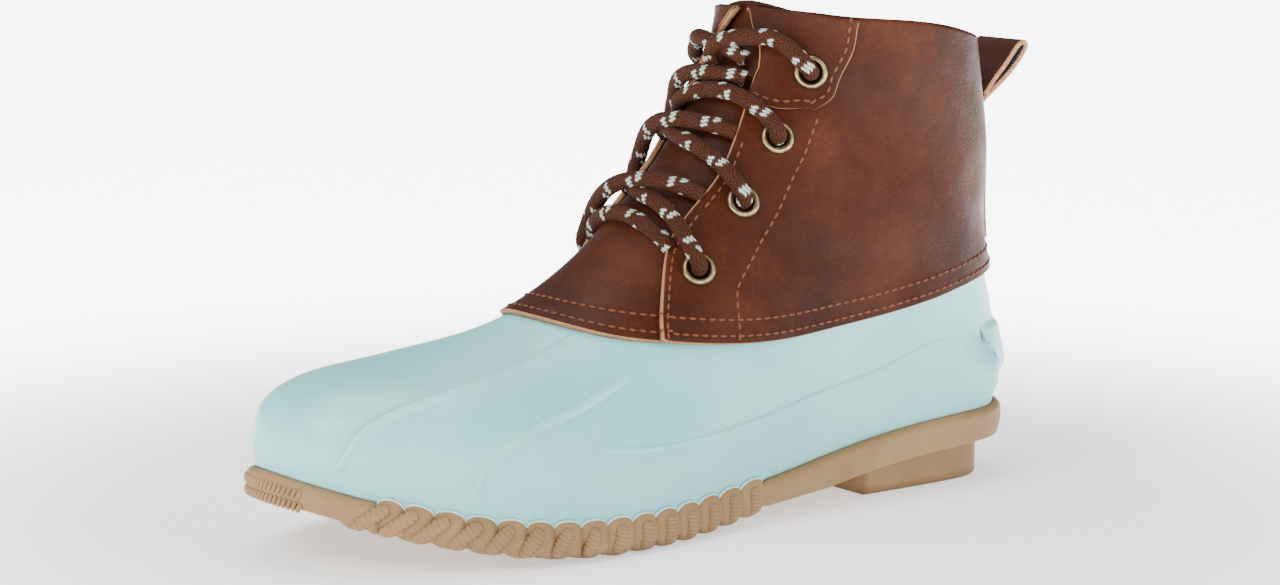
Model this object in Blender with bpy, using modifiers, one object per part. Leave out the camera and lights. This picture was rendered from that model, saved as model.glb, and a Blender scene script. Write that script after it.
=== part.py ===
# Lace-up duck boot, left foot, standing empty on its own sole.
# Rubber shell and lugged rubber outsole below, leather vamp, quarters and tongue above.
# The boot is drawn in millimetres in its own measures: x to the outer side of the left
# foot, "from heel" forward along the foot, z up from the floor.

import math

import bmesh
import bpy
import numpy as np
from mathutils import Matrix, Vector

MM = 0.001

# Where the middle of the boot's box lies in those measures
BOX_MID_X = 1.65
BOX_MID_FROM_HEEL = 126.35

# Wall thicknesses and clearances
GAP = 0.3
SEAT_GAP = 0.8
LIP_GAP = 0.6
SHELL_WALL = 2.6
VAMP_WALL = 1.7
QUARTER_WALL = 1.9
TONGUE_WALL = 1.8
INSOLE_THICKNESS = 3.6

# How far each leather layer's outer face lies over the rubber's outer face
VAMP_LIFT = 2.1
QUARTER_LIFT = 2.4
QUARTER_FRONT_LIFT = 3.6
PATCH_LIFT = 1.2
TONGUE_LIFT = 0.3

# Outsole
RIM_OUT = 3.2
TREAD_DEPTH = 2.6
RIM_DEPTH = 9.2
HEEL_SEAT = 15.0
HEEL_INSET = 5.6
HEEL_BREAST = 64.0
LUG_DEPTH = 2.2
LUG_LEAN = 0.8
LUGS_A_SIDE = 15
LUG_FIRST_ROW = 2.75
LUG_LAST_ROW = 8.1

# Brass and lace
EYELET_OUTER = 5.4
EYELET_BORE = 3.4
EYELET_BARREL = 4.0
EYELET_HOLE = 4.4
LACE_RADIUS = 2.5

# Pull loop: half its width, wall, and its bend behind the collar as (from heel, z)
LOOP_HALF_WIDTH = 11.0
LOOP_WALL = 1.8
LOOP_BEND = [(-3.6, 126.4), (-10.6, 132.7), (-17.6, 139.0), (-22.6, 144.9), (-23.0, 147.6), (-20.8, 148.8),
             (-17.3, 146.9), (-12.9, 141.9), (-7.2, 136.2), (-2.9, 131.2)]

# Height of the line where rubber shell meets outsole: from heel, height
SHELL_FOOT = [(-6, 24.8), (20, 24.0), (45, 22.5), (70, 19.5), (95, 15.5), (120, 12.0), (150, 9.5),
              (180, 9.3), (210, 11.6), (240, 17.5), (262, 24.0), (273, 28.0)]

# Height of the tread's lowest face: from heel, height
TREAD_FACE = [(60, 8.0), (110, 4.0), (140, 0.7), (150, 0.0), (200, 0.0), (212, 2.4), (240, 8.4),
              (262, 14.6), (273, 18.0)]

# The last, a row for each section that fans out from the top line to the bottom edge.
# name, top line (from heel, z, x), outer edge (from heel, x), inner edge (from heel, x),
# widest x on the outer and the inner side, squareness
SECTIONS = [
    ("tip",         272.5, 28.0, -6.0, 272.5, -6.0, 272.5, -6.0, -6.0, -6.0, 2.6),
    ("toe wall",    270.5, 43.0, -6.0, 269.0, 8.5, 269.0, -19.0, 9.0, -19.5, 2.6),
    ("toe bend",    263.0, 52.0, -6.5, 260.0, 20.5, 261.0, -29.0, 21.5, -30.0, 2.6),
    ("toe box",     247.5, 56.5, -7.0, 245.0, 32.0, 246.5, -38.0, 33.5, -39.0, 2.6),
    ("toe root",    229.5, 58.0, -7.5, 223.0, 43.0, 226.5, -44.5, 44.5, -45.5, 2.6),
    ("ball front",  212.0, 60.5, -7.0, 200.0, 49.0, 204.0, -46.5, 50.5, -47.5, 2.4),
    ("ball",        195.0, 63.5, -6.0, 175.0, 49.5, 180.0, -44.0, 51.0, -45.5, 2.25),
    ("vamp",        178.0, 68.8, -5.0, 150.0, 46.0, 155.0, -39.0, 47.5, -41.5, 2.15),
    ("low instep",  161.0, 78.0, -4.0, 124.0, 40.5, 127.0, -34.0, 43.5, -38.5, 2.1),
    ("instep",      145.0, 90.5, -3.0, 97.0, 36.5, 99.0, -31.5, 41.0, -37.0, 2.1),
    ("high instep", 131.0, 105.0, -2.0, 71.0, 34.5, 72.0, -31.5, 39.0, -37.0, 2.2),
    ("waist",       120.0, 118.5, -1.0, 46.0, 34.0, 46.0, -32.5, 38.0, -37.0, 2.15),
    ("heel side",   111.5, 131.0, -0.5, 24.0, 33.0, 24.0, -31.5, 38.5, -38.0, 2.1),
    ("heel corner", 105.0, 140.0, 0.0, 4.0, 25.5, 4.0, -24.5, 38.5, -38.0, 2.05),
    ("heel back",   100.0, 147.0, 0.0, -5.0, 0.0, -5.0, 0.0, 38.0, -37.5, 2.05),
    ("counter",     96.0, 153.0, 0.0, -7.2, 0.0, -7.2, 0.0, 36.8, -36.3, 2.05),
    ("counter top", 93.5, 157.0, 0.0, 0.2, 0.0, 0.2, 0.0, 36.0, -35.5, 2.15),
    ("ankle",       91.5, 161.0, 0.0, 0.8, 0.0, 0.8, 0.0, 36.2, -35.7, 2.2),
    ("collar",      90.0, 165.0, 0.0, 7.0, 0.0, 7.0, 0.0, 36.7, -36.2, 2.2),
    ("over collar", 88.5, 174.0, 0.0, 9.0, 0.0, 9.0, 0.0, 37.2, -36.7, 2.2),
]
HEEL_BACK = 14
LAST_ROW = len(SECTIONS) - 1
# Height of the back line at the rows past the heel's back
BACK_LINE = [("heel back", 24.8), ("counter", 48.0), ("counter top", 80.0), ("ankle", 115.0),
             ("collar", 152.0), ("over collar", 162.0)]

# Lines on the last, each a list of (row, share of the way from top line to edge)
LEATHER_EDGE = [(6.8, 0.0), (6.9, 0.13), (7.05, 0.26), (7.47, 0.375), (7.94, 0.437), (8.73, 0.512),
                (9.41, 0.569), (10.42, 0.619), (11.76, 0.650), (13.4, 0.665), (14.7, 0.73),
                (15.45, 0.86), (15.65, 1.0)]
QUARTER_FRONT = [(7.94, 0.437), (8.19, 0.362), (8.77, 0.256), (9.27, 0.185), (9.92, 0.168),
                 (10.64, 0.158), (11.72, 0.125), (12.7, 0.095), (13.78, 0.075), (14.86, 0.066),
                 (17.3, 0.060)]
COLLAR_LINE = [(17.3, 0.060), (17.85, 0.16), (18.0, 0.26), (18.15, 0.36), (18.35, 0.52),
               (18.15, 0.65), (17.95, 0.78), (17.8, 1.0)]
PATCH_FOOT = [(12.78, 0.090), (12.9, 0.125), (13.2, 0.155), (13.75, 0.185)]
PATCH_REAR = [(13.75, 0.185), (14.6, 0.207), (15.66, 0.237), (16.95, 0.281), (18.05, 0.312)]
SHELL_TOP = [(7.6, 0.0), (7.7, 0.13), (7.95, 0.25), (8.45, 0.335), (9.1, 0.41), (10.2, 0.48),
             (11.5, 0.53), (13.0, 0.56), (14.6, 0.60), (15.7, 0.72), (16.1, 0.88), (16.15, 1.0)]
INNER_RIDGE = [(1.75, 0.90), (1.95, 0.78), (2.09, 0.681), (2.42, 0.594), (3.07, 0.512),
               (3.82, 0.455), (5.16, 0.365), (6.42, 0.287), (7.3, 0.24)]
OUTER_RIDGE = [(3.8, 0.90), (3.88, 0.83), (4.0, 0.769), (4.29, 0.70), (5.05, 0.619),
               (6.17, 0.544), (6.93, 0.494), (7.75, 0.43)]
EYELETS = [(9.28, 0.297), (10.72, 0.234), (12.39, 0.186), (15.3, 0.171)]
EYELETS_ON_PATCH = 1
VAMP_SEAM = [(9.2, 0.0), (9.2, 0.1), (9.2, 0.2), (9.2, 0.30)]
VAMP_REAR = [(8.73, 0.512), (8.95, 0.41), (9.2, 0.30)]
TONGUE_TOP = [(18.35, 0.0), (18.3, 0.05), (18.15, 0.11), (17.75, 0.17)]
TONGUE_REAR = [(9.24, 0.29), (10.7, 0.245), (12.7, 0.19), (15.0, 0.165), (17.75, 0.17)]

# Lace strands on the last, each a list of (row, share, lift of the lace's middle)
LACE_BAR = [(9.30, 0.160, 3.9), (9.36, 0.08, 3.9), (9.40, 0.0, 3.9), (9.36, -0.08, 3.9), (9.30, -0.160, 3.9)]
LACES = {
    "lace_cross_1": [
        [(9.28, 0.297, 3.3), (9.29, 0.293, 6.6), (9.33, 0.27, 8.5), (9.43, 0.235, 8.2), (9.56, 0.192, 7.2),
         (9.74, 0.109, 5.2), (9.83, 0.028, 4.2), (9.97, -0.04, 3.9), (10.12, -0.10, 3.9), (10.19, -0.130, 3.9)],
        [(9.28, -0.297, 3.3), (9.29, -0.293, 6.6), (9.33, -0.27, 8.5), (9.42, -0.235, 8.3), (9.60, -0.165, 8.0),
         (9.76, -0.085, 8.0), (9.90, -0.02, 8.2), (10.05, 0.04, 7.2), (10.19, 0.09, 5.0), (10.26, 0.128, 3.9)],
    ],
    "lace_cross_2": [
        [(10.72, 0.234, 3.3), (10.73, 0.231, 6.6), (10.78, 0.212, 8.5), (10.87, 0.18, 7.9), (10.98, 0.145, 6.8),
         (11.09, 0.085, 4.9), (11.18, 0.016, 4.0), (11.35, -0.04, 3.9), (11.50, -0.092, 3.9)],
        [(10.72, -0.234, 3.3), (10.73, -0.231, 6.6), (10.78, -0.212, 8.5), (10.95, -0.17, 8.0),
         (11.15, -0.12, 7.8), (11.34, -0.05, 8.0), (11.47, 0.0, 7.2), (11.60, 0.045, 5.2), (11.72, 0.084, 3.9)],
    ],
    "lace_cross_3": [
        [(12.39, 0.186, 3.3), (12.40, 0.184, 6.6), (12.47, 0.169, 8.5), (12.58, 0.14, 8.0), (12.66, 0.10, 7.0),
         (12.62, 0.055, 5.0), (12.50, 0.02, 4.0), (12.32, -0.025, 3.9), (12.20, -0.062, 3.9)],
    ],
    "lace_cross_4": [
        [(12.39, -0.186, 3.3), (12.40, -0.184, 6.6), (12.49, -0.169, 8.5), (12.70, -0.14, 8.2),
         (12.90, -0.10, 8.2), (13.02, -0.05, 6.6), (13.08, 0.0, 4.2), (13.18, 0.03, 3.9), (13.28, 0.05, 3.9)],
    ],
    "lace_top": [
        [(15.30, 0.171, 4.6), (15.32, 0.171, 8.0), (15.55, 0.165, 9.9), (15.85, 0.14, 9.3), (15.85, 0.10, 8.4),
         (15.40, 0.07, 8.0), (14.90, 0.045, 7.9), (14.40, 0.012, 7.9), (14.05, -0.008, 6.4), (13.80, -0.015, 4.6),
         (13.62, -0.012, 3.9)],
        [(15.30, -0.171, 4.6), (15.32, -0.171, 8.0), (15.45, -0.155, 9.9), (15.40, -0.12, 8.9),
         (15.10, -0.085, 9.0), (14.75, -0.055, 7.8), (14.50, -0.025, 4.8), (14.32, 0.005, 3.9),
         (14.20, 0.028, 3.9)],
    ],
}

# Heights that the leather's lower edge and the collar keep along the boot: from heel, height
LEATHER_EDGE_HEIGHT = [(-6, 74.0), (16, 72.0), (36, 68.6), (62, 64.2), (89, 60.9), (114, 59.2),
                       (132, 59.5), (151, 60.9), (164, 62.6), (173, 64.9), (179, 67.0), (182, 68.2)]
COLLAR_HEIGHT = [(4, 149.2), (15, 151.9), (32, 156.4), (45, 159.2), (60, 160.8), (77, 162.4),
                 (87, 163.6), (95, 163.0)]
SHELL_TUCK = 12.0

# The counter's swell over the last, round the heel
COUNTER_SWELL = 4.6
SWELL_HEIGHT = 37.0
SWELL_REACH = 13.0


def spline(knots, values):
    """Natural cubic spline through rows of values, held flat past its ends."""
    knots = np.asarray(knots, float)
    values = np.asarray(values, float)
    count = len(knots)
    step = np.diff(knots)
    matrix = np.eye(count)
    right = np.zeros_like(values)
    for i in range(1, count - 1):
        matrix[i, i - 1:i + 2] = step[i - 1], 2 * (step[i - 1] + step[i]), step[i]
        right[i] = 3 * ((values[i + 1] - values[i]) / step[i] - (values[i] - values[i - 1]) / step[i - 1])
    bend = np.linalg.solve(matrix, right.reshape(count, -1)).reshape(values.shape)

    def read(x):
        x = np.clip(np.asarray(x, float), knots[0], knots[-1])
        k = np.clip(np.searchsorted(knots, x, side="right") - 1, 0, count - 2)
        along, width = x - knots[k], step[k]
        if values.ndim > 1:
            along, width = along[..., None], width[..., None]
        slope = (values[k + 1] - values[k]) / width - width * (2 * bend[k] + bend[k + 1]) / 3
        return values[k] + along * (slope + along * (bend[k] + along * (bend[k + 1] - bend[k]) / (3 * width)))
    return read


def read_pairs(pairs):
    return spline([p[0] for p in pairs], [p[1] for p in pairs])


shell_foot = read_pairs(SHELL_FOOT)
tread_face = read_pairs(TREAD_FACE)
leather_edge_height = read_pairs(LEATHER_EDGE_HEIGHT)
collar_height = read_pairs(COLLAR_HEIGHT)
section_values = spline(range(LAST_ROW + 1), [row[1:] for row in SECTIONS])
back_height = spline(range(HEEL_BACK, LAST_ROW + 1), [height for _, height in BACK_LINE])


def make_outline():
    """The last's bottom edge in plan, by signed row: outer side positive, inner negative."""
    outer = [(row[4], row[5]) for row in SECTIONS[:HEEL_BACK + 1]]
    inner = [(row[6], row[7]) for row in SECTIONS[:HEEL_BACK + 1]]
    wrap = 3
    points = outer[-1 - wrap:-1] + inner[:0:-1] + outer + inner[-2:-2 - wrap:-1]
    return spline(range(-HEEL_BACK - wrap, HEEL_BACK + wrap + 1), points)


outline = make_outline()


def section(row, side, samples=81):
    """Points of one half section, evenly spaced from the top line to the edge."""
    top_s, top_z, top_x, _, _, _, _, wide_outer, wide_inner, squareness = section_values(row)
    wide = wide_outer if side > 0 else wide_inner
    if row <= HEEL_BACK:
        edge_s, edge_x = outline(side * row)
        edge_z = shell_foot(edge_s)
    else:
        edge_s, edge_x, edge_z, top_x = section_values(row)[3], 0.0, back_height(row), 0.0
    power = 2 / squareness
    span = wide - top_x
    if abs(span) < 1e-6:
        return np.tile([top_x, top_s, top_z], (samples, 1))
    tuck = np.clip((edge_x - top_x) / span, 0, 1)
    last_angle = math.pi if row >= HEEL_BACK else math.pi - math.asin(tuck ** (1 / power))
    angle = np.linspace(0, last_angle, 400)
    across = np.abs(np.sin(angle)) ** power
    down = np.sign(np.cos(angle)) * np.abs(np.cos(angle)) ** power
    down = (1 - down) / (1 - down[-1])
    curve = np.stack([top_x + span * across, top_s + (edge_s - top_s) * down,
                      top_z + (edge_z - top_z) * down], axis=-1)
    length = np.concatenate([[0], np.cumsum(np.linalg.norm(np.diff(curve, axis=0), axis=1))])
    even = np.linspace(0, length[-1], samples)
    return np.stack([np.interp(even, length, curve[:, k]) for k in range(3)], axis=-1)


ROW_STEP = 0.1
HALF_SAMPLES = 81


def counter_swell(points):
    """How far the moulded counter swells out, most at the heel's corners."""
    over_foot = points[..., 2] - shell_foot(points[..., 1])
    tall = np.exp(-((points[..., 2] - SWELL_HEIGHT) / SWELL_REACH) ** 2) * np.clip(over_foot / 8, 0, 1)
    near_heel = np.clip((42 - points[..., 1]) / 36, 0, 1)
    corner = 0.3 + 0.7 * np.clip(np.abs(points[..., 0]) / 18, 0, 1)
    return COUNTER_SWELL * tall * near_heel ** 2 * (3 - 2 * near_heel) * corner


def make_last():
    """Points and outward normals of the whole last on a fine net of rows and shares."""
    rows = np.arange(0, LAST_ROW + ROW_STEP / 2, ROW_STEP)
    net = []
    for row in rows:
        inner = section(row, -1, HALF_SAMPLES)
        outer = section(row, 1, HALF_SAMPLES)
        net.append(np.concatenate([inner[:0:-1], outer]))
    net = np.array(net)
    normal = np.cross(np.gradient(net, axis=0), np.gradient(net, axis=1))
    back = rows >= HEEL_BACK
    normal[back, 0, 0] = 0
    normal[back, -1, 0] = 0
    normal[0] = normal[1, HALF_SAMPLES - 1]
    normal /= np.linalg.norm(normal, axis=2, keepdims=True)
    return net + normal * counter_swell(net)[..., None], normal


LAST_NET, LAST_NORMAL = make_last()


def on_last(row, share, lift=0.0):
    """Point on the last at a row and a signed share, lifted along its normal."""
    row = np.clip(np.asarray(row, float) / ROW_STEP, 0, LAST_NET.shape[0] - 1.001)
    share = np.clip((np.asarray(share, float) + 1) * (HALF_SAMPLES - 1), 0, LAST_NET.shape[1] - 1.001)
    i, j = row.astype(int), share.astype(int)
    a, b = (row - i)[..., None], (share - j)[..., None]

    def read(net):
        low = net[i, j] * (1 - b) + net[i, j + 1] * b
        high = net[i + 1, j] * (1 - b) + net[i + 1, j + 1] * b
        return low * (1 - a) + high * a
    return read(LAST_NET) + read(LAST_NORMAL) * np.asarray(lift, float)[..., None]


def nearest(points):
    """Rows and shares of the places on the last that lie nearest to points."""
    net = LAST_NET.reshape(-1, 3)
    found = [np.argmin(((net - point) ** 2).sum(axis=1)) for point in points]
    at = np.stack(np.unravel_index(found, LAST_NET.shape[:2]), axis=1) * [ROW_STEP, 1 / (HALF_SAMPLES - 1)]
    at -= [0, 1]
    for _ in range(8):
        off = points - on_last(at[:, 0], at[:, 1])
        row_way, share_way = [(on_last(*(at + step).T) - on_last(*(at - step).T)) / (2 * sum(step))
                              for step in ([0.04, 0], [0, 0.01])]
        matrix = np.stack([row_way, share_way], axis=2)
        turned = matrix.transpose(0, 2, 1)
        move = np.linalg.solve(turned @ matrix + 1e-6 * np.eye(2), turned @ off[..., None])[..., 0]
        at += np.clip(0.7 * move, [-0.2, -0.03], [0.2, 0.03])
        at = np.clip(at, [0, -1], [LAST_ROW, 1])
    return at


def settle(line, height):
    """Moves points of a line over the last until each is at its height for its place."""
    line = np.array(line, float)
    step = np.array([0.05, 0.01])
    free = np.ones(line.shape)
    free[[0, -1], 1] = (line[[0, -1], 1] > 0) & (line[[0, -1], 1] < 1)

    def miss(points):
        place_on = on_last(points[:, 0], points[:, 1])
        return place_on[:, 2] - height(place_on[:, 1])
    for _ in range(12):
        here = miss(line)
        slope = np.stack([(miss(line + step * axis) - miss(line - step * axis)) / 2 for axis in np.eye(2)],
                         axis=1) * free
        line -= 0.7 * step * slope * (here / (slope ** 2).sum(axis=1))[:, None]
        line[:, 1] = np.clip(line[:, 1], 0, 1)
    return line


def evenly(line, fractions):
    """Points of a line on the last at fractions of its real length."""
    chord = np.linalg.norm(np.diff(on_last(line[:, 0], line[:, 1]), axis=0), axis=1)
    knots = np.concatenate([[0], np.cumsum(chord)])
    return np.stack([np.interp(fractions, knots / knots[-1], line[:, k]) for k in range(2)], axis=1)


def trace(line, fractions, height=None):
    """Rows and shares along a rounded line on the last, at fractions of its real length."""
    line = np.asarray(line, float)
    steps = np.linspace(0, len(line) - 1, 12 * len(line))
    line = np.stack([np.interp(steps, np.arange(len(line)), line[:, k]) for k in range(2)], axis=1)
    line = evenly(line, np.linspace(0, 1, 81))
    for _ in range(14):
        line[1:-1] = (line[:-2] + 2 * line[1:-1] + line[2:]) / 4
    if height:
        line = settle(line, height)
    return evenly(line, fractions)


def even_rows(first, last, share, count):
    """Rows along one share of the last, spaced by length and by how sharply the line turns."""
    rows = np.linspace(first, last, 400)
    way = np.diff(on_last(rows, np.full(400, share)), axis=0)
    length = np.linalg.norm(way, axis=1)
    ahead = way / np.maximum(length, 1e-9)[:, None]
    turn = np.concatenate([[0], np.arccos(np.clip((ahead[1:] * ahead[:-1]).sum(axis=1), -1, 1))])
    effort = np.concatenate([[0], np.cumsum(length / 14 + np.minimum(turn, 0.2) / 0.3)])
    return np.interp(np.linspace(0, effort[-1], count), effort, rows)


def patch(foot, top, front, rear, columns, rows, heights=(None, None)):
    """Rows and shares that fill four lines which meet at their ends.

    Columns and rows are counts of equal steps, or lists of fractions of the way.
    """
    u, v = (np.linspace(0, 1, n + 1) if isinstance(n, int) else np.asarray(n) for n in (columns, rows))
    columns, rows = len(u) - 1, len(v) - 1
    filled = np.zeros((rows + 1, columns + 1, 2))
    filled[0], filled[-1] = trace(foot, u, heights[0]), trace(top, u, heights[1])
    if filled[0, 0, 0] == 0:
        filled[0, 0] = front[0]
    filled[:, 0] = trace([filled[0, 0], *front[1:-1], filled[-1, 0]], v)
    filled[:, -1] = trace([filled[0, -1], *rear[1:-1], filled[-1, -1]], v)
    edge = on_last(filled[..., 0], filled[..., 1])
    u, v = u[None, :, None], v[:, None, None]
    corners = ((1 - u) * (1 - v) * edge[0, 0] + u * (1 - v) * edge[0, -1]
               + (1 - u) * v * edge[-1, 0] + u * v * edge[-1, -1])
    spread = (1 - v) * edge[0] + v * edge[-1] + (1 - u) * edge[:, :1] + u * edge[:, -1:] - corners
    inside = nearest(spread[1:-1, 1:-1].reshape(-1, 3))
    filled[1:-1, 1:-1] = inside.reshape(rows - 1, columns - 1, 2)
    return filled


def smooth_step(x):
    x = np.clip(x, 0, 1)
    return x * x * (3 - 2 * x)


def in_world(points):
    """Boot measures in millimetres to world metres, toe toward -Y."""
    points = np.asarray(points, float)
    return np.stack([points[..., 0] - BOX_MID_X, BOX_MID_FROM_HEEL - points[..., 1], points[..., 2]],
                    axis=-1) * MM


parts = bpy.data.collections.new("duck_boot")
tools = bpy.data.collections.new("cutters")
bpy.context.scene.collection.children.link(parts)
bpy.context.scene.collection.children.link(tools)
for old in list(bpy.data.objects):
    bpy.data.objects.remove(old, do_unlink=True)

boot = bpy.data.objects.new("boot_frame", None)
parts.objects.link(boot)


def material(name, colour, roughness, metallic=0.0):
    made = bpy.data.materials.new(name)
    made.use_nodes = True
    shader = made.node_tree.nodes["Principled BSDF"]
    shader.inputs["Base Color"].default_value = (*colour, 1)
    shader.inputs["Roughness"].default_value = roughness
    shader.inputs["Metallic"].default_value = metallic
    made.diffuse_color = (*colour, 1)
    return made


MINT_RUBBER = material("mint_rubber", (0.45, 0.66, 0.65), 0.35)
TAN_RUBBER = material("tan_rubber", (0.38, 0.24, 0.12), 0.55)
BROWN_LEATHER = material("brown_leather", (0.16, 0.055, 0.03), 0.5)
LINING = material("lining", (0.20, 0.13, 0.09), 0.9)
BRASS = material("antique_brass", (0.42, 0.33, 0.20), 0.35, 1.0)
LACE_CORD = material("lace_cord", (0.08, 0.035, 0.02), 0.85)


def keep(mesh, name, made):
    """A finished piece in the parts collection."""
    mesh.materials.clear()
    mesh.materials.append(made)
    piece = bpy.data.objects.new(name, mesh)
    parts.objects.link(piece)
    piece.parent = boot
    mesh.shade_smooth()
    mesh.set_sharp_from_angle(angle=math.radians(40))
    return piece


def tool(mesh, name):
    """A shape that only cuts or joins."""
    shape = bpy.data.objects.new(name, mesh)
    tools.objects.link(shape)
    shape.hide_render = True
    shape.display_type = "WIRE"
    return shape


def sheet(points, name, flip=False):
    """A grid moved onto rows of points; coincident corners are merged."""
    rows, columns = points.shape[:2]
    grid = bmesh.new()
    bmesh.ops.create_grid(grid, x_segments=columns - 1, y_segments=rows - 1, size=1)
    world = in_world(points)
    for vertex in grid.verts:
        i = round((vertex.co.y + 1) / 2 * (rows - 1))
        j = round((vertex.co.x + 1) / 2 * (columns - 1))
        vertex.co = world[i, j]
    if flip:
        bmesh.ops.reverse_faces(grid, faces=grid.faces)
    bmesh.ops.remove_doubles(grid, verts=grid.verts, dist=0.00002)
    mesh = bpy.data.meshes.new(name)
    grid.to_mesh(mesh)
    grid.free()
    return mesh


def thicken(piece, wall):
    solid = piece.modifiers.new("Wall", "SOLIDIFY")
    solid.thickness = wall * MM
    solid.offset = -1
    return solid


def boolean(piece, other, operation):
    made = piece.modifiers.new(other.name, "BOOLEAN")
    made.operation = operation
    made.object = other
    made.solver = "EXACT"


def tube(points, radii, name, resolution=1):
    """A round bar along points, with a radius at each of them."""
    curve = bpy.data.curves.new(name, "CURVE")
    curve.dimensions = "3D"
    curve.bevel_depth = MM
    curve.bevel_resolution = resolution
    curve.use_fill_caps = True
    line = curve.splines.new("POLY")
    line.points.add(len(points) - 1)
    for point, place, radius in zip(line.points, in_world(points), np.broadcast_to(radii, len(points))):
        point.co = (*place, 1)
        point.radius = radius
    guide = bpy.data.objects.new(name, curve)
    tools.objects.link(guide)
    bpy.context.view_layer.update()
    graph = bpy.context.evaluated_depsgraph_get()
    mesh = bpy.data.meshes.new_from_object(guide.evaluated_get(graph))
    bpy.data.objects.remove(guide)
    body = bmesh.new()
    body.from_mesh(mesh)
    bmesh.ops.remove_doubles(body, verts=body.verts, dist=0.00001)
    bmesh.ops.recalc_face_normals(body, faces=body.faces)
    body.to_mesh(mesh)
    body.free()
    return mesh


def joined(meshes, name):
    """Several closed bodies in one mesh, for a Boolean to take together."""
    whole = bmesh.new()
    for mesh in meshes:
        whole.from_mesh(mesh)
    result = bpy.data.meshes.new(name)
    whole.to_mesh(result)
    whole.free()
    return result


def make_shell():
    """Moulded rubber shell: toe, sides and counter, open above and at the foot."""
    around = [0, 0.035, 0.075, 0.12, 0.17, 0.23, 0.31, 0.41, 0.52, 0.63, 0.73, 0.81, 0.87, 0.92, 0.96, 1]
    rows = 15

    def tucked(from_heel):
        return leather_edge_height(from_heel) + SHELL_TUCK
    half = patch([(0.0, 1.0), (7.0, 1.0), (HEEL_BACK, 1.0)], SHELL_TOP, [(0.0, 0.0), (4.0, 0.0), (7.6, 0.0)],
                 [(HEEL_BACK, 1.0), (15.0, 1.0), (16.15, 1.0)], around, rows, (None, tucked))
    row = np.concatenate([half[:, :0:-1, 0], half[..., 0]], axis=1)
    share = np.concatenate([-half[:, :0:-1, 1], half[..., 1]], axis=1)
    sunk = np.zeros(row.shape)
    sunk[-4:] = [[-0.15], [-0.5], [-0.8], [-1.1]]
    points = on_last(row, share, sunk)
    piece = keep(sheet(points, "shell"), "shell", MINT_RUBBER)
    thicken(piece, SHELL_WALL)

    ridge_radius, ridge_sunk = 1.9, 0.85
    ridges = []
    for side in (1, -1):
        for line in (INNER_RIDGE, OUTER_RIDGE):
            way = trace(line, np.linspace(0, 1, 13))
            lift = np.full(len(way), -ridge_sunk)
            lift[[0, -1]] = -1.25 * ridge_radius
            bar = on_last(way[:, 0], side * way[:, 1], lift)
            ridges.append(tube(bar, ridge_radius, "ridge"))
    boolean(piece, tool(joined(ridges, "shell_ridges"), "shell_ridges"), "UNION")
    return piece


def edge_station(signed_row):
    """Edge point of the last in plan, and the way out from it."""
    point = outline(signed_row)
    ahead = outline(signed_row + 0.02) - outline(signed_row - 0.02)
    ahead /= np.linalg.norm(ahead)
    out = np.array([ahead[1], -ahead[0]])
    return point, out


def place(signed_row, out, height):
    """Point at a distance out from the last's edge, at a height over the floor."""
    (edge_s, edge_x), (out_s, out_x) = edge_station(signed_row)
    return np.array([edge_x + out_x * out, edge_s + out_s * out, height])


def bulge(signed_row, rise):
    """How far the shell swells past its foot line, a little way up."""
    half = section(min(abs(signed_row), HEEL_BACK - 0.01), math.copysign(1, signed_row))
    (edge_s, edge_x), (out_s, out_x) = edge_station(signed_row)
    near = half[::-1]
    x = np.interp(near[0, 2] + rise, near[:30, 2], near[:30, 0])
    s = np.interp(near[0, 2] + rise, near[:30, 2], near[:30, 1])
    return max(0.12 * rise, (x - edge_x) * out_x + (s - edge_s) * out_s)


def groove_floor(signed_row):
    """Height of the groove that the shell's foot stands in."""
    side = math.copysign(1, signed_row)
    row = min(abs(signed_row), HEEL_BACK - 0.1)
    rise = float(on_last(row, side, 1.0)[2] - on_last(row, side, 0.0)[2])
    toe = float(np.clip((1.9 - row) / 1.0, 0, 1))
    heel = float(np.clip(row - 12.8, 0, 1))
    spare = SEAT_GAP + SHELL_WALL * max(0.0, rise) + 2.0 * toe + 0.8 * heel
    return float(shell_foot(outline(signed_row)[0])) - spare


def rim_profile(signed_row, roundness, is_lug):
    """Points of the rim from the groove, over the lip, down the side and under the sole."""
    row = abs(signed_row)
    side = math.copysign(1, signed_row)
    fore = float(np.clip((9.4 - row) / 1.2, 0, 1))
    toe_rib = float(np.clip((1.6 - row) / 0.4, 0, 1))
    foot = float(shell_foot(outline(signed_row)[0]))
    floor = groove_floor(signed_row)
    lip = 0.5 + 2.4 * roundness if is_lug else 1.0
    swell = bulge(signed_row, lip)
    out = RIM_OUT - LUG_DEPTH * (1 - roundness)
    under = foot - RIM_DEPTH + fore * TREAD_DEPTH
    drop = TREAD_DEPTH * roundness * is_lug
    lowest = max(0.0, float(tread_face(outline(signed_row)[0]))) + 0.4
    low = max(under - drop, lowest) if is_lug else under
    lean = LUG_LEAN * min(1.0, row / 2.4) * max(0.0, (8.0 - row) / 5.2) ** 1.2
    layers = [(0.0, -1.5, floor), (0.0, LIP_GAP, floor), (0.0, swell + LIP_GAP, foot + lip),
              (0.0, swell + 1.9, foot + lip - 0.2), (0.1, max(out, 0.5 * swell + 1.7), foot - 1.2),
              (0.4, out - 1.3 * toe_rib, foot - 3.7), (0.75, out - 0.2, foot - 6.0),
              (1.0, 0.4 + fore, low + 0.6), (1.0, -6.0, low), (1.0, -8.6, under)]
    return [place(side * (row - share * lean), way_out, height) for share, way_out, height in layers]


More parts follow.
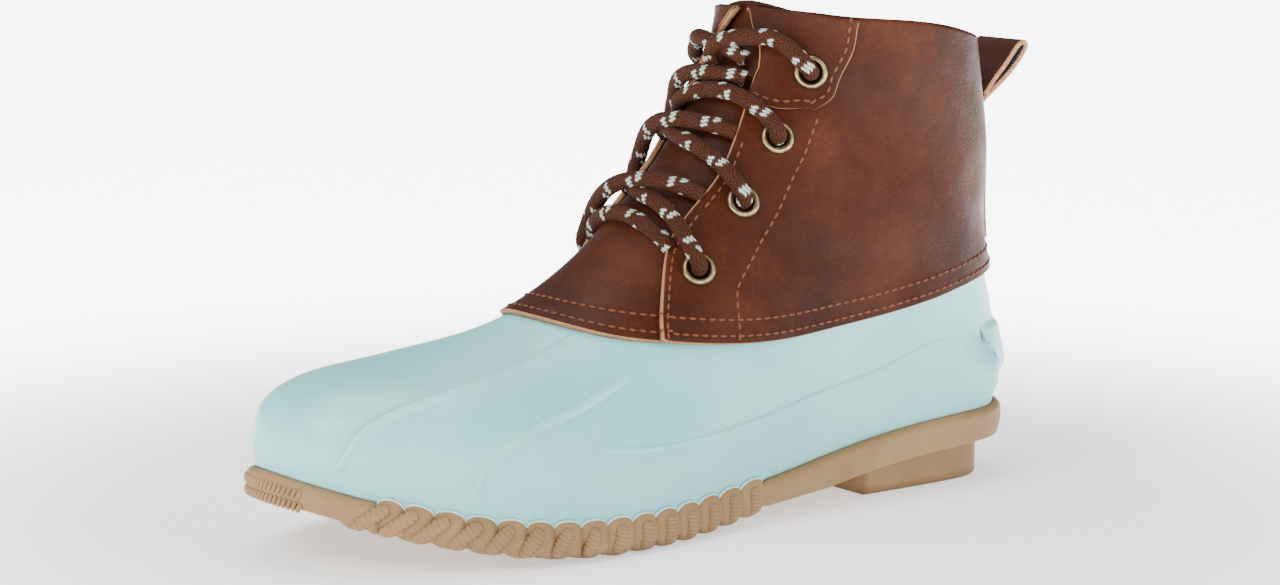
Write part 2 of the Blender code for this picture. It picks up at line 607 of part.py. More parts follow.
def make_outsole():
    """Rubber outsole: scalloped rim with side lugs, arch, forefoot tread pad, block heel."""
    pitch = (LUG_LAST_ROW - LUG_FIRST_ROW) / (LUGS_A_SIDE - 1)
    lug_rows = LUG_FIRST_ROW - pitch / 2 + np.arange(4 * LUGS_A_SIDE + 1) * pitch / 4
    toe_rows = np.linspace(0, lug_rows[0], 8)[:-1]
    arch_rows = even_rows(lug_rows[-1], HEEL_BACK, 1.0, 15)[1:]
    rows = np.concatenate([toe_rows, lug_rows, arch_rows])
    is_lug = (rows >= lug_rows[0]) & (rows <= lug_rows[-1])
    roundness = np.ones(len(rows))
    roundness[is_lug] = np.resize([0.0, 0.8, 1.1, 0.8], len(lug_rows))
    outer = [rim_profile(*station) for station in zip(rows, roundness, is_lug)]
    inner = [rim_profile(*station) for station in zip(-rows[-2:0:-1], roundness[-2:0:-1], is_lug[-2:0:-1])]
    ring = np.array(outer + inner)
    body = bmesh.new()
    corners = [[body.verts.new(point) for point in station] for station in in_world(ring)]
    count, layers = ring.shape[:2]
    for k in range(count):
        this, following = corners[k], corners[(k + 1) % count]
        for layer in range(layers - 1):
            body.faces.new([this[layer], following[layer], following[layer + 1], this[layer + 1]])
    for layer in (0, layers - 1):
        for k in range(len(rows) - 1):
            corner = [corners[k][layer], corners[k + 1][layer],
                      corners[-(k + 1) % count][layer], corners[-k % count][layer]]
            body.faces.new(list(dict.fromkeys(corner)))
    bmesh.ops.recalc_face_normals(body, faces=body.faces)
    if body.calc_volume(signed=True) < 0:
        bmesh.ops.reverse_faces(body, faces=body.faces)
    bmesh.ops.triangulate(body, faces=[face for face in body.faces if len(face.verts) > 3])
    mesh = bpy.data.meshes.new("outsole")
    body.to_mesh(mesh)
    body.free()
    piece = keep(mesh, "outsole", TAN_RUBBER)
    boolean(piece, tool(make_tread_pad(), "tread_pad"), "UNION")
    boolean(piece, tool(make_heel_block(), "heel_block"), "UNION")
    return piece


def loft(rings, name):
    """Closed body through rings of world points, capped at both ends."""
    body = bmesh.new()
    corners = [[body.verts.new(point) for point in ring] for ring in in_world(rings)]
    for this, following in zip(corners, corners[1:]):
        for k in range(len(this)):
            after = (k + 1) % len(this)
            body.faces.new([this[k], this[after], following[after], following[k]])
    body.faces.new(corners[0])
    body.faces.new(corners[-1])
    bmesh.ops.recalc_face_normals(body, faces=body.faces)
    mesh = bpy.data.meshes.new(name)
    body.to_mesh(mesh)
    body.free()
    return mesh


def make_tread_pad():
    """Raised field under the forefoot, level where it stands on the floor."""
    inset = 6.0
    rings = []
    for row in np.linspace(1.1, 8.7, 18):
        ring = []
        for side in (1, -1):
            edge_s = outline(side * row)[0]
            low = max(0.0, float(tread_face(edge_s)))
            high = float(shell_foot(edge_s)) - 4.0
            ends = [place(side * row, -inset, high), place(side * row, -inset, low + 0.8),
                    place(side * row, -inset - 1.0, low)]
            ring += ends if side > 0 else ends[::-1]
        rings.append(ring)
    return loft(np.array(rings), "tread_pad")


def make_heel_block():
    """Block heel, straight across at the breast and round at the back."""
    rows = np.linspace(9.6, HEEL_BACK, 15)
    signed = np.concatenate([rows, -rows[-2::-1]])
    behind = np.array([place(row, -HEEL_INSET, 0.0)[1] for row in signed]) < HEEL_BREAST - 3.0
    rings = []
    for inset, height in ((HEEL_INSET + 1.0, 0.0), (HEEL_INSET, 1.1), (HEEL_INSET, HEEL_SEAT + 3.0)):
        edge = np.array([place(row, -inset, height) for row in signed])
        breast = HEEL_BREAST - (inset - HEEL_INSET)
        corners = [np.interp(breast, edge[:, 1][order], edge[:, 0][order])
                   for order in (np.arange(14, -1, -1), np.arange(14, len(edge)))]
        rings.append([[corners[0], breast, height], *edge[behind], [corners[1], breast, height]])
    return loft(np.array(rings), "heel_block")


def make_upper():
    """Leather quarters and vamp, one wall, with a collar patch a side and the lace holes."""
    columns, rows = 15, 9
    side = patch(LEATHER_EDGE[4:], COLLAR_LINE, QUARTER_FRONT, [(15.6, 1.0), (16.6, 1.0), (17.8, 1.0)],
                 columns, rows, (leather_edge_height, collar_height))
    row = np.concatenate([side[..., 0], side[:, -2::-1, 0]], axis=1)
    share = np.concatenate([side[..., 1], -side[:, -2::-1, 1]], axis=1)
    from_front = np.concatenate([np.arange(columns + 1), np.arange(columns - 1, -1, -1)]) / columns
    front = 1 - smooth_step((from_front - 0.13) / 0.2)
    lift = QUARTER_LIFT + (QUARTER_FRONT_LIFT - QUARTER_LIFT) * front
    points = on_last(row, share, np.broadcast_to(lift, row.shape))
    piece = keep(sheet(points, "upper"), "upper", BROWN_LEATHER)
    thicken(piece, QUARTER_WALL)

    for sign, name in ((1, "outer"), (-1, "inner")):
        field = patch(PATCH_FOOT, COLLAR_LINE[:4], QUARTER_FRONT[7:], PATCH_REAR, 5, 6, (None, collar_height))
        field[:, 0, 1] += 0.008
        lift = np.full(field.shape[:2], QUARTER_FRONT_LIFT + PATCH_LIFT)
        points = on_last(field[..., 0], sign * field[..., 1], lift)
        points[-1, :, 2] -= 0.8
        overlay = tool(sheet(points, "collar_patch_" + name, sign < 0), "collar_patch_" + name)
        thicken(overlay, PATCH_LIFT + 0.7)
        boolean(piece, overlay, "UNION")

    def over_edge(from_heel):
        return leather_edge_height(from_heel) + 0.7
    half = patch(LEATHER_EDGE[:6], VAMP_SEAM, [(6.8, 0.0), (7.6, 0.0), (8.4, 0.0), (9.2, 0.0)],
                 VAMP_REAR, 7, 5, (over_edge, None))
    row = np.concatenate([half[:, :0:-1, 0], half[..., 0]], axis=1)
    share = np.concatenate([-half[:, :0:-1, 1], half[..., 1]], axis=1)
    vamp = tool(sheet(on_last(row, share, np.full(row.shape, VAMP_LIFT)), "vamp"), "vamp")
    thicken(vamp, VAMP_WALL)
    boolean(piece, vamp, "UNION")

    holes = bmesh.new()
    for frame, _ in eyelet_frames():
        bmesh.ops.create_cone(holes, cap_ends=True, segments=12, radius1=EYELET_HOLE * MM,
                              radius2=EYELET_HOLE * MM, depth=14 * MM, matrix=frame)
    mesh = bpy.data.meshes.new("lace_holes")
    holes.to_mesh(mesh)
    holes.free()
    boolean(piece, tool(mesh, "lace_holes"), "DIFFERENCE")
    return piece


def eyelet_frames():
    """World frame of each eyelet's seat on the leather, and its name."""
    frames = []
    for sign, name in ((1, "outer"), (-1, "inner")):
        for k, (row, share) in enumerate(EYELETS):
            lift = QUARTER_FRONT_LIFT + (PATCH_LIFT + 0.6 if k >= len(EYELETS) - EYELETS_ON_PATCH else 0.0)
            seat, above, beside = in_world(on_last([row, row, row + 0.3], np.full(3, sign * share),
                                                   [lift, lift + 5, lift]))
            axis = Vector(above - seat).normalized()
            across = Vector(beside - seat)
            across = (across - across.dot(axis) * axis).normalized()
            turn = Matrix((across, axis.cross(across), axis)).transposed().to_4x4()
            frames.append((Matrix.Translation(seat) @ turn, f"eyelet_{name}_{k + 1}"))
    return frames


def make_eyelets():
    """Rolled brass eyelets, four a side."""
    profile = [(4.5, 1.5), (EYELET_OUTER, 0.65), (EYELET_BARREL, 0.65), (EYELET_BARREL, -1.2),
               (EYELET_BORE, -1.2), (EYELET_BORE, 1.2)]
    body = bmesh.new()
    corners = [body.verts.new((radius * MM, 0, height * MM)) for radius, height in profile]
    for k, corner in enumerate(corners):
        body.edges.new([corner, corners[(k + 1) % len(corners)]])
    shape = bpy.data.meshes.new("eyelet")
    body.to_mesh(shape)
    body.free()
    for frame, name in eyelet_frames():
        piece = bpy.data.objects.new(name, shape)
        parts.objects.link(piece)
        piece.parent = boot
        piece.matrix_world = frame
        turn = piece.modifiers.new("Turned", "SCREW")
        turn.steps = 10
        turn.render_steps = 10
        turn.use_merge_vertices = True
        turn.merge_threshold = 0.00001
    shape.materials.append(BRASS)


def make_tongue():
    """Leather tongue under the quarters, from the vamp's seam to above the collar."""
    half = patch([(9.24, 0.0), (9.24, 0.1), (9.24, 0.2), (9.24, 0.29)], TONGUE_TOP,
                 [(9.24, 0.0), (12.0, 0.0), (15.0, 0.0), (18.35, 0.0)], TONGUE_REAR, 4, 11)
    row = np.concatenate([half[:, :0:-1, 0], half[..., 0]], axis=1)
    share = np.concatenate([-half[:, :0:-1, 1], half[..., 1]], axis=1)
    piece = keep(sheet(on_last(row, share, np.full(row.shape, TONGUE_LIFT)), "tongue"), "tongue",
                 BROWN_LEATHER)
    thicken(piece, TONGUE_WALL)
    return piece


def make_insole():
    """Footbed on the outsole, inside the shell."""
    inset = SHELL_WALL + 2.0
    rings = []
    for row in even_rows(1.0, HEEL_BACK - 0.4, 1.0, 20):
        ring = []
        for side in (1, -1):
            foot = groove_floor(side * row) + GAP
            ends = [place(side * row, -inset, foot + INSOLE_THICKNESS), place(side * row, -inset, foot)]
            ring += ends if side > 0 else ends[::-1]
        rings.append(ring)
    return keep(loft(np.array(rings), "insole"), "insole", LINING)


def strand(points):
    """One length of lace, rounded through rows, shares and lifts."""
    along = spline(range(len(points)), points)(np.linspace(0, len(points) - 1, len(points) + 3))
    return tube(on_last(along[:, 0], along[:, 1], along[:, 2]), LACE_RADIUS, "strand")


def make_laces():
    """Lace from eyelet to eyelet across the tongue; strands that cross are one piece."""
    keep(strand(LACE_BAR), "lace_bar", LACE_CORD)
    for name, strands in LACES.items():
        piece = keep(strand(strands[0]), name, LACE_CORD)
        for other in strands[1:]:
            boolean(piece, tool(strand(other), name + "_over"), "UNION")


def make_pull_loop():
    """Strap up the heel's back that turns out into a loop behind the collar."""
    across = np.linspace(-1, 1, 5)
    lift = np.full(5, QUARTER_LIFT + GAP + 0.2 + LOOP_WALL)
    stations = [on_last(np.full(5, row), np.sign(across) * (1 - 0.092 * np.abs(across)) + (across == 0), lift)
                for row in (15.95, 16.35, 16.75, 17.1)]
    bow = stations[-1][0, 1] - stations[-1][2, 1]
    for k, (from_heel, height) in enumerate(LOOP_BEND):
        curve = bow * max(0.0, 1 - (k + 1) / 3) * across ** 2
        flat = np.stack([LOOP_HALF_WIDTH * across, from_heel + curve, np.full(5, height)], axis=1)
        stations.append(flat)
    piece = keep(sheet(np.array(stations), "pull_loop", True), "pull_loop", BROWN_LEATHER)
    thicken(piece, LOOP_WALL)


make_shell()
make_outsole()
make_upper()
make_eyelets()
make_tongue()
make_insole()
make_pull_loop()
make_laces()
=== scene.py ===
# Lace-up duck boot for the left foot, standing empty on its sole.
# Every piece is drawn over the same last as the solids, in millimetres: x to the outer side,
# "from heel" forward along the foot, z up. in_world turns that into the frame's metres.

import math

import bmesh
import bpy
import numpy as np
from mathutils import Matrix, Vector
from mathutils.bvhtree import BVHTree
from mathutils.kdtree import KDTree


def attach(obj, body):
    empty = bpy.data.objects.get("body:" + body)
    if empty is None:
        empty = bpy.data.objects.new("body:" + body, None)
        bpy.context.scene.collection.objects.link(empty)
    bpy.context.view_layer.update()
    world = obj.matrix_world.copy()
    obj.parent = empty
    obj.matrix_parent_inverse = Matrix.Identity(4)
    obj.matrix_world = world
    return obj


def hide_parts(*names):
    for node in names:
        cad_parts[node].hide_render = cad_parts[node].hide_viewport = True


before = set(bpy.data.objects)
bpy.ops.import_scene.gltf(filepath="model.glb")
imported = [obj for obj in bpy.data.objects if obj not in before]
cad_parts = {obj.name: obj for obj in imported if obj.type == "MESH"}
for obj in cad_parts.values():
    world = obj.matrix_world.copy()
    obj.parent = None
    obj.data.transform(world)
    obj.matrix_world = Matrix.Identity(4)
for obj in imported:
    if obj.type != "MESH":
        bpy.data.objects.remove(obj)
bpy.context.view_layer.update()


# The camera stands at the photograph's angle: 54 degrees round from the toe toward the
# outer side, 9 degrees up, with a long lens.
azimuth, elevation = math.radians(54.4), math.radians(9.0)
back = Vector((math.sin(azimuth) * math.cos(elevation), -math.cos(azimuth) * math.cos(elevation),
               math.sin(elevation)))
right = Vector((math.cos(azimuth), math.sin(azimuth), 0))
up = back.cross(right)
lens = bpy.data.cameras.new("camera")
lens.lens = 90
lens.sensor_width = 36
lens.clip_end = 30
camera = bpy.data.objects.new("camera", lens)
turn = Matrix((right, up, back)).transposed().to_4x4()
camera_at = (0.84065, -0.61255, 0.2364)
camera.matrix_world = Matrix.Translation(camera_at) @ turn
bpy.context.scene.collection.objects.link(camera)
bpy.context.scene.camera = camera


# Lining: short brushed textile, glued inside the rubber and the leather and over the insole.
# It is dull and brown, and rubbed a little lighter in clouds.
MM = 0.001


def new_material(name):
    """A material with a plain shader, to be finished."""
    made = bpy.data.materials.new(name)
    made.use_nodes = True
    return made


def node(made, kind, inputs=None, **settings):
    """One shader node with its settings and inputs, which may be other nodes' outputs."""
    shader = made.node_tree.nodes.new("ShaderNode" + kind)
    for key, value in settings.items():
        setattr(shader, key, value)
    for key, value in (inputs or {}).items():
        if isinstance(value, bpy.types.NodeSocket):
            made.node_tree.links.new(value, shader.inputs[key])
        else:
            shader.inputs[key].default_value = value
    return shader


def noise(made, scale, detail=3.0, rough=0.5):
    """Noise in the object's own place, scale in features a metre."""
    place = node(made, "TexCoord").outputs["Object"]
    return node(made, "TexNoise", {"Vector": place, "Scale": scale, "Detail": detail,
                                   "Roughness": rough}).outputs["Fac"]


def ramp(made, factor, *stops):
    """Colours at places between 0 and 1."""
    shader = node(made, "ValToRGB", {"Fac": factor})
    scale = shader.color_ramp
    while len(scale.elements) < len(stops):
        scale.elements.new(0.5)
    for element, (at, colour) in zip(scale.elements, stops):
        element.position = at
        element.color = (*colour, 1)
    return shader.outputs["Color"]


def mottled(made, factor, dark, light):
    """A colour, or a plain number, that wanders between two in a noise's clouds."""
    dark, light = (end if isinstance(end, tuple) else (end,) * 3 for end in (dark, light))
    return ramp(made, factor, (0.3, dark), (0.7, light))


def bump(made, *layers):
    """Stacked bumps, each a height, its depth in millimetres and its strength."""
    normal = None
    for height, depth, strength in layers:
        inputs = {"Height": height, "Distance": depth * MM, "Strength": strength}
        if normal:
            inputs["Normal"] = normal
        normal = node(made, "Bump", inputs).outputs["Normal"]
    return normal


def finish_material(made, colour, roughness, normal=None, **more):
    """Puts a colour, a roughness and a normal on the material's shader."""
    shader = made.node_tree.nodes["Principled BSDF"]
    inputs = {"Base Color": colour, "Roughness": roughness, "Normal": normal, **more}
    for key, value in inputs.items():
        if isinstance(value, bpy.types.NodeSocket):
            made.node_tree.links.new(value, shader.inputs[key])
        elif value is not None:
            shader.inputs[key].default_value = (*value, 1) if isinstance(value, tuple) else value


lining = new_material("brushed_lining")
finish_material(lining, mottled(lining, noise(lining, 120, 5), (0.075, 0.045, 0.032), (0.13, 0.085, 0.06)),
                0.95, bump(lining, (noise(lining, 900, 4, 0.7), 0.35, 0.7)))
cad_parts["insole"].material_slots[0].material = lining


# Rubber shell: one moulding round the toe, sides and counter, in satin pale aqua. It has a
# raised band round the heel and ribs over the toe and along each side, all moulded on.
BOX_MID_X = 1.65
BOX_MID_FROM_HEEL = 126.35

# Height of the line where rubber shell meets outsole: from heel, height
SHELL_FOOT = [(-6, 24.8), (20, 24.0), (45, 22.5), (70, 19.5), (95, 15.5), (120, 12.0), (150, 9.5),
              (180, 9.3), (210, 11.6), (240, 17.5), (262, 24.0), (273, 28.0)]

# The last that the boot is made on, a row for each section that fans out from the top line
# to the bottom edge. A place on it is a row and a signed share of the way between them.
# Each row names
#     name, top line (from heel, z, x), outer edge (from heel, x), inner edge (from heel, x),
#     widest x on the outer and the inner side, squareness
SECTIONS = [
    ("tip",         272.5, 28.0, -6.0, 272.5, -6.0, 272.5, -6.0, -6.0, -6.0, 2.6),
    ("toe wall",    270.5, 43.0, -6.0, 269.0, 8.5, 269.0, -19.0, 9.0, -19.5, 2.6),
    ("toe bend",    263.0, 52.0, -6.5, 260.0, 20.5, 261.0, -29.0, 21.5, -30.0, 2.6),
    ("toe box",     247.5, 56.5, -7.0, 245.0, 32.0, 246.5, -38.0, 33.5, -39.0, 2.6),
    ("toe root",    229.5, 58.0, -7.5, 223.0, 43.0, 226.5, -44.5, 44.5, -45.5, 2.6),
    ("ball front",  212.0, 60.5, -7.0, 200.0, 49.0, 204.0, -46.5, 50.5, -47.5, 2.4),
    ("ball",        195.0, 63.5, -6.0, 175.0, 49.5, 180.0, -44.0, 51.0, -45.5, 2.25),
    ("vamp",        178.0, 68.8, -5.0, 150.0, 46.0, 155.0, -39.0, 47.5, -41.5, 2.15),
    ("low instep",  161.0, 78.0, -4.0, 124.0, 40.5, 127.0, -34.0, 43.5, -38.5, 2.1),
    ("instep",      145.0, 90.5, -3.0, 97.0, 36.5, 99.0, -31.5, 41.0, -37.0, 2.1),
    ("high instep", 131.0, 105.0, -2.0, 71.0, 34.5, 72.0, -31.5, 39.0, -37.0, 2.2),
    ("waist",       120.0, 118.5, -1.0, 46.0, 34.0, 46.0, -32.5, 38.0, -37.0, 2.15),
    ("heel side",   111.5, 131.0, -0.5, 24.0, 33.0, 24.0, -31.5, 38.5, -38.0, 2.1),
    ("heel corner", 105.0, 140.0, 0.0, 4.0, 25.5, 4.0, -24.5, 38.5, -38.0, 2.05),
    ("heel back",   100.0, 147.0, 0.0, -5.0, 0.0, -5.0, 0.0, 38.0, -37.5, 2.05),
    ("counter",     96.0, 153.0, 0.0, -7.2, 0.0, -7.2, 0.0, 36.8, -36.3, 2.05),
    ("counter top", 93.5, 157.0, 0.0, 0.2, 0.0, 0.2, 0.0, 36.0, -35.5, 2.15),
    ("ankle",       91.5, 161.0, 0.0, 0.8, 0.0, 0.8, 0.0, 36.2, -35.7, 2.2),
    ("collar",      90.0, 165.0, 0.0, 7.0, 0.0, 7.0, 0.0, 36.7, -36.2, 2.2),
    ("over collar", 88.5, 174.0, 0.0, 9.0, 0.0, 9.0, 0.0, 37.2, -36.7, 2.2),
]
HEEL_BACK = 14
LAST_ROW = len(SECTIONS) - 1
# Height of the back line at the rows past the heel's back
BACK_LINE = [("heel back", 24.8), ("counter", 48.0), ("counter top", 80.0), ("ankle", 115.0),
             ("collar", 152.0), ("over collar", 162.0)]

# The counter's swell over the last, round the heel, in millimetres
COUNTER_SWELL = 4.6
SWELL_HEIGHT = 37.0
SWELL_REACH = 13.0
ROW_STEP = 0.1
HALF_SAMPLES = 81


def spline(knots, values):
    """Natural cubic spline through rows of values, held flat past its ends."""
    knots = np.asarray(knots, float)
    values = np.asarray(values, float)
    count = len(knots)
    step = np.diff(knots)
    matrix = np.eye(count)
    right = np.zeros_like(values)
    for i in range(1, count - 1):
        matrix[i, i - 1:i + 2] = step[i - 1], 2 * (step[i - 1] + step[i]), step[i]
        right[i] = 3 * ((values[i + 1] - values[i]) / step[i] - (values[i] - values[i - 1]) / step[i - 1])
    bend = np.linalg.solve(matrix, right.reshape(count, -1)).reshape(values.shape)

    def read(x):
        x = np.clip(np.asarray(x, float), knots[0], knots[-1])
        k = np.clip(np.searchsorted(knots, x, side="right") - 1, 0, count - 2)
        along, width = x - knots[k], step[k]
        if values.ndim > 1:
            along, width = along[..., None], width[..., None]
        slope = (values[k + 1] - values[k]) / width - width * (2 * bend[k] + bend[k + 1]) / 3
        curl = (bend[k + 1] - bend[k]) / (3 * width)
        return values[k] + along * (slope + along * (bend[k] + along * curl))
    return read


def unit(vectors):
    """Vectors scaled to length 1."""
    return vectors / np.linalg.norm(vectors, axis=-1, keepdims=True)


def run_of(points):
    """Length along a line at each of its points."""
    return np.concatenate([[0], np.cumsum(np.linalg.norm(np.diff(points, axis=0), axis=1))])


def read_along(at, knots, table):
    """Rows of a table at places between its knots."""
    return np.stack([np.interp(at, knots, table[:, k]) for k in range(table.shape[1])], axis=-1)


def smoothed(line, times):
    """A line with its points drawn toward their neighbours, its ends kept."""
    line = np.array(line, float)
    for _ in range(times):
        line[1:-1] = (line[:-2] + 2 * line[1:-1] + line[2:]) / 4
    return line


def read_pairs(pairs):
    """A curve through (from heel, height) pairs."""
    return spline([p[0] for p in pairs], [p[1] for p in pairs])


shell_foot = read_pairs(SHELL_FOOT)
section_values = spline(range(LAST_ROW + 1), [row[1:] for row in SECTIONS])
back_height = spline(range(HEEL_BACK, LAST_ROW + 1), [height for _, height in BACK_LINE])


def make_outline():
    """The last's bottom edge in plan, by signed row: outer side positive, inner negative."""
    outer = [(row[4], row[5]) for row in SECTIONS[:HEEL_BACK + 1]]
    inner = [(row[6], row[7]) for row in SECTIONS[:HEEL_BACK + 1]]
    wrap = 3
    points = outer[-1 - wrap:-1] + inner[:0:-1] + outer + inner[-2:-2 - wrap:-1]
    return spline(range(-HEEL_BACK - wrap, HEEL_BACK + wrap + 1), points)


outline = make_outline()


def section(row, side, samples=81):
    """Points of one half section, evenly spaced from the top line to the edge."""
    top_s, top_z, top_x, _, _, _, _, wide_outer, wide_inner, squareness = section_values(row)
    wide = wide_outer if side > 0 else wide_inner
    if row <= HEEL_BACK:
        edge_s, edge_x = outline(side * row)
        edge_z = shell_foot(edge_s)
    else:
        edge_s, edge_x, edge_z, top_x = section_values(row)[3], 0.0, back_height(row), 0.0
    power = 2 / squareness
    span = wide - top_x
    if abs(span) < 1e-6:
        return np.tile([top_x, top_s, top_z], (samples, 1))
    tuck = np.clip((edge_x - top_x) / span, 0, 1)
    last_angle = math.pi if row >= HEEL_BACK else math.pi - math.asin(tuck ** (1 / power))
    angle = np.linspace(0, last_angle, 400)
    across = np.abs(np.sin(angle)) ** power
    down = np.sign(np.cos(angle)) * np.abs(np.cos(angle)) ** power
    down = (1 - down) / (1 - down[-1])
    curve = np.stack([top_x + span * across, top_s + (edge_s - top_s) * down,
                      top_z + (edge_z - top_z) * down], axis=-1)
    length = run_of(curve)
    return read_along(np.linspace(0, length[-1], samples), length, curve)


def counter_swell(points):
    """How far the moulded counter swells out, most at the heel's corners."""
    over_foot = points[..., 2] - shell_foot(points[..., 1])
    tall = np.exp(-((points[..., 2] - SWELL_HEIGHT) / SWELL_REACH) ** 2) * np.clip(over_foot / 8, 0, 1)
    near_heel = np.clip((42 - points[..., 1]) / 36, 0, 1)
    corner = 0.3 + 0.7 * np.clip(np.abs(points[..., 0]) / 18, 0, 1)
    return COUNTER_SWELL * tall * near_heel ** 2 * (3 - 2 * near_heel) * corner


def make_last():
    """Points and outward normals of the whole last on a fine net of rows and shares."""
    rows = np.arange(0, LAST_ROW + ROW_STEP / 2, ROW_STEP)
    net = []
    for row in rows:
        inner = section(row, -1, HALF_SAMPLES)
        outer = section(row, 1, HALF_SAMPLES)
        net.append(np.concatenate([inner[:0:-1], outer]))
    net = np.array(net)
    normal = np.cross(np.gradient(net, axis=0), np.gradient(net, axis=1))
    back = rows >= HEEL_BACK
    normal[back, 0, 0] = 0
    normal[back, -1, 0] = 0
    normal[0] = normal[1, HALF_SAMPLES - 1]
    normal = unit(normal)
    return net + normal * counter_swell(net)[..., None], normal


LAST_NET, LAST_NORMAL = make_last()
last_tree = KDTree(LAST_NET.shape[0] * LAST_NET.shape[1])
for number, point in enumerate(LAST_NET.reshape(-1, 3)):
    last_tree.insert(point, number)
last_tree.balance()


def on_last(row, share, lift=0.0):
    """Point on the last at a row and a signed share, lifted along its normal."""
    row = np.clip(np.asarray(row, float) / ROW_STEP, 0, LAST_NET.shape[0] - 1.001)
    share = np.clip((np.asarray(share, float) + 1) * (HALF_SAMPLES - 1), 0, LAST_NET.shape[1] - 1.001)
    i, j = row.astype(int), share.astype(int)
    a, b = (row - i)[..., None], (share - j)[..., None]

    def read(net):
        low = net[i, j] * (1 - b) + net[i, j + 1] * b
        high = net[i + 1, j] * (1 - b) + net[i + 1, j + 1] * b
        return low * (1 - a) + high * a
    return read(LAST_NET) + read(LAST_NORMAL) * np.asarray(lift, float)[..., None]


def nearest(points):
    """Rows and shares of the places on the last that lie nearest to points."""
    found = [last_tree.find(point)[1] for point in points]
    at = np.stack(np.unravel_index(found, LAST_NET.shape[:2]), axis=1) * [ROW_STEP, 1 / (HALF_SAMPLES - 1)]
    at -= [0, 1]
    for _ in range(8):
        off = points - on_last(at[:, 0], at[:, 1])
        row_way, share_way = [(on_last(*(at + step).T) - on_last(*(at - step).T)) / (2 * sum(step))
                              for step in ([0.04, 0], [0, 0.01])]
        matrix = np.stack([row_way, share_way], axis=2)
        turned = matrix.transpose(0, 2, 1)
        move = np.linalg.solve(turned @ matrix + 1e-6 * np.eye(2), turned @ off[..., None])[..., 0]
        at += np.clip(0.7 * move, [-0.2, -0.03], [0.2, 0.03])
        at = np.clip(at, [0, -1], [LAST_ROW, 1])
    return at


def settle(line, height):
    """Moves points of a line over the last until each is at its height for its place."""
    line = np.array(line, float)
    step = np.array([0.05, 0.01])
    free = np.ones(line.shape)
    free[[0, -1], 1] = (line[[0, -1], 1] > 0) & (line[[0, -1], 1] < 1)

    def miss(points):
        place_on = on_last(points[:, 0], points[:, 1])
        return place_on[:, 2] - height(place_on[:, 1])
    for _ in range(12):
        here = miss(line)
        slope = np.stack([(miss(line + step * axis) - miss(line - step * axis)) / 2 for axis in np.eye(2)],
                         axis=1) * free
        line -= 0.7 * step * slope * (here / (slope ** 2).sum(axis=1))[:, None]
        line[:, 1] = np.clip(line[:, 1], 0, 1)
    return line


def evenly(line, fractions):
    """Points of a line on the last at fractions of its real length."""
    knots = run_of(on_last(line[:, 0], line[:, 1]))
    return read_along(fractions, knots / knots[-1], line)


def trace(line, fractions, height=None):
    """Rows and shares along a rounded line on the last, at fractions of its real length."""
    line = np.asarray(line, float)
    line = read_along(np.linspace(0, len(line) - 1, 12 * len(line)), np.arange(len(line)), line)
    line = smoothed(evenly(line, np.linspace(0, 1, 81)), 14)
    if not height:
        return evenly(line, fractions)
    line = settle(line, height)
    for _ in range(3):
        line = settle(smoothed(line, 6), height)
    return settle(evenly(line, fractions), height)


def patch(foot, top, front, rear, columns, rows, heights=(None, None)):
    """Rows and shares that fill four lines which meet at their ends.

    Columns and rows are counts of equal steps, or lists of fractions of the way.
    """
    u, v = (np.linspace(0, 1, n + 1) if isinstance(n, int) else np.asarray(n) for n in (columns, rows))
    columns, rows = len(u) - 1, len(v) - 1
    filled = np.zeros((rows + 1, columns + 1, 2))
    filled[0], filled[-1] = trace(foot, u, heights[0]), trace(top, u, heights[1])
    if filled[0, 0, 0] == 0:
        filled[0, 0] = front[0]
    filled[:, 0] = trace([filled[0, 0], *front[1:-1], filled[-1, 0]], v)
    filled[:, -1] = trace([filled[0, -1], *rear[1:-1], filled[-1, -1]], v)
    edge = on_last(filled[..., 0], filled[..., 1])
    u, v = u[None, :, None], v[:, None, None]
    corners = ((1 - u) * (1 - v) * edge[0, 0] + u * (1 - v) * edge[0, -1]
               + (1 - u) * v * edge[-1, 0] + u * v * edge[-1, -1])
    spread = (1 - v) * edge[0] + v * edge[-1] + (1 - u) * edge[:, :1] + u * edge[:, -1:] - corners
    inside = nearest(spread[1:-1, 1:-1].reshape(-1, 3))
    filled[1:-1, 1:-1] = inside.reshape(rows - 1, columns - 1, 2)
    return filled


def smooth_step(x):
    """Eases from 0 to 1 while x goes from 0 to 1."""
    x = np.clip(x, 0, 1)
    return x * x * (3 - 2 * x)


def in_world(points):
    """Boot measures in millimetres to world metres, toe toward -Y."""
    points = np.asarray(points, float)
    return np.stack([points[..., 0] - BOX_MID_X, BOX_MID_FROM_HEEL - points[..., 1], points[..., 2]],
                    axis=-1) * MM


def mirrored(half):
    """Rows and shares of an outer half with its inner half, from inner to outer side."""
    row = np.concatenate([half[:, :0:-1, 0], half[..., 0]], axis=1)
    share = np.concatenate([-half[:, :0:-1, 1], half[..., 1]], axis=1)
    return row, share


def over_last(row, share):
    """Points on the last and the way out from it."""
    points = on_last(row, share)
    out = on_last(row, share, np.ones(np.shape(row))) - points
    return points, unit(out)


def mix(made, factor, a, b, blend="MIX"):
    """Two colours mixed by a factor; any of the three may be another node's output."""
    shader = node(made, "Mix", data_type="RGBA", blend_type=blend)
    for key, value in ((0, factor), (6, a), (7, b)):
        if isinstance(value, bpy.types.NodeSocket):
            made.node_tree.links.new(value, shader.inputs[key])
        else:
            shader.inputs[key].default_value = value if key == 0 else (*value, 1)
    return shader.outputs[2]


def mesh_of(name, body):
    """The mesh of a body, which is then done with."""
    mesh = bpy.data.meshes.new(name)
    body.to_mesh(mesh)
    body.free()
    return mesh


def put(name, mesh, materials):
    """Sets a mesh down as a piece of the boot."""
    mesh.shade_smooth()
    for made in materials:
        mesh.materials.append(made)
    shape = bpy.data.objects.new(name, mesh)
    bpy.context.scene.collection.objects.link(shape)
    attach(shape, "root")
    return shape


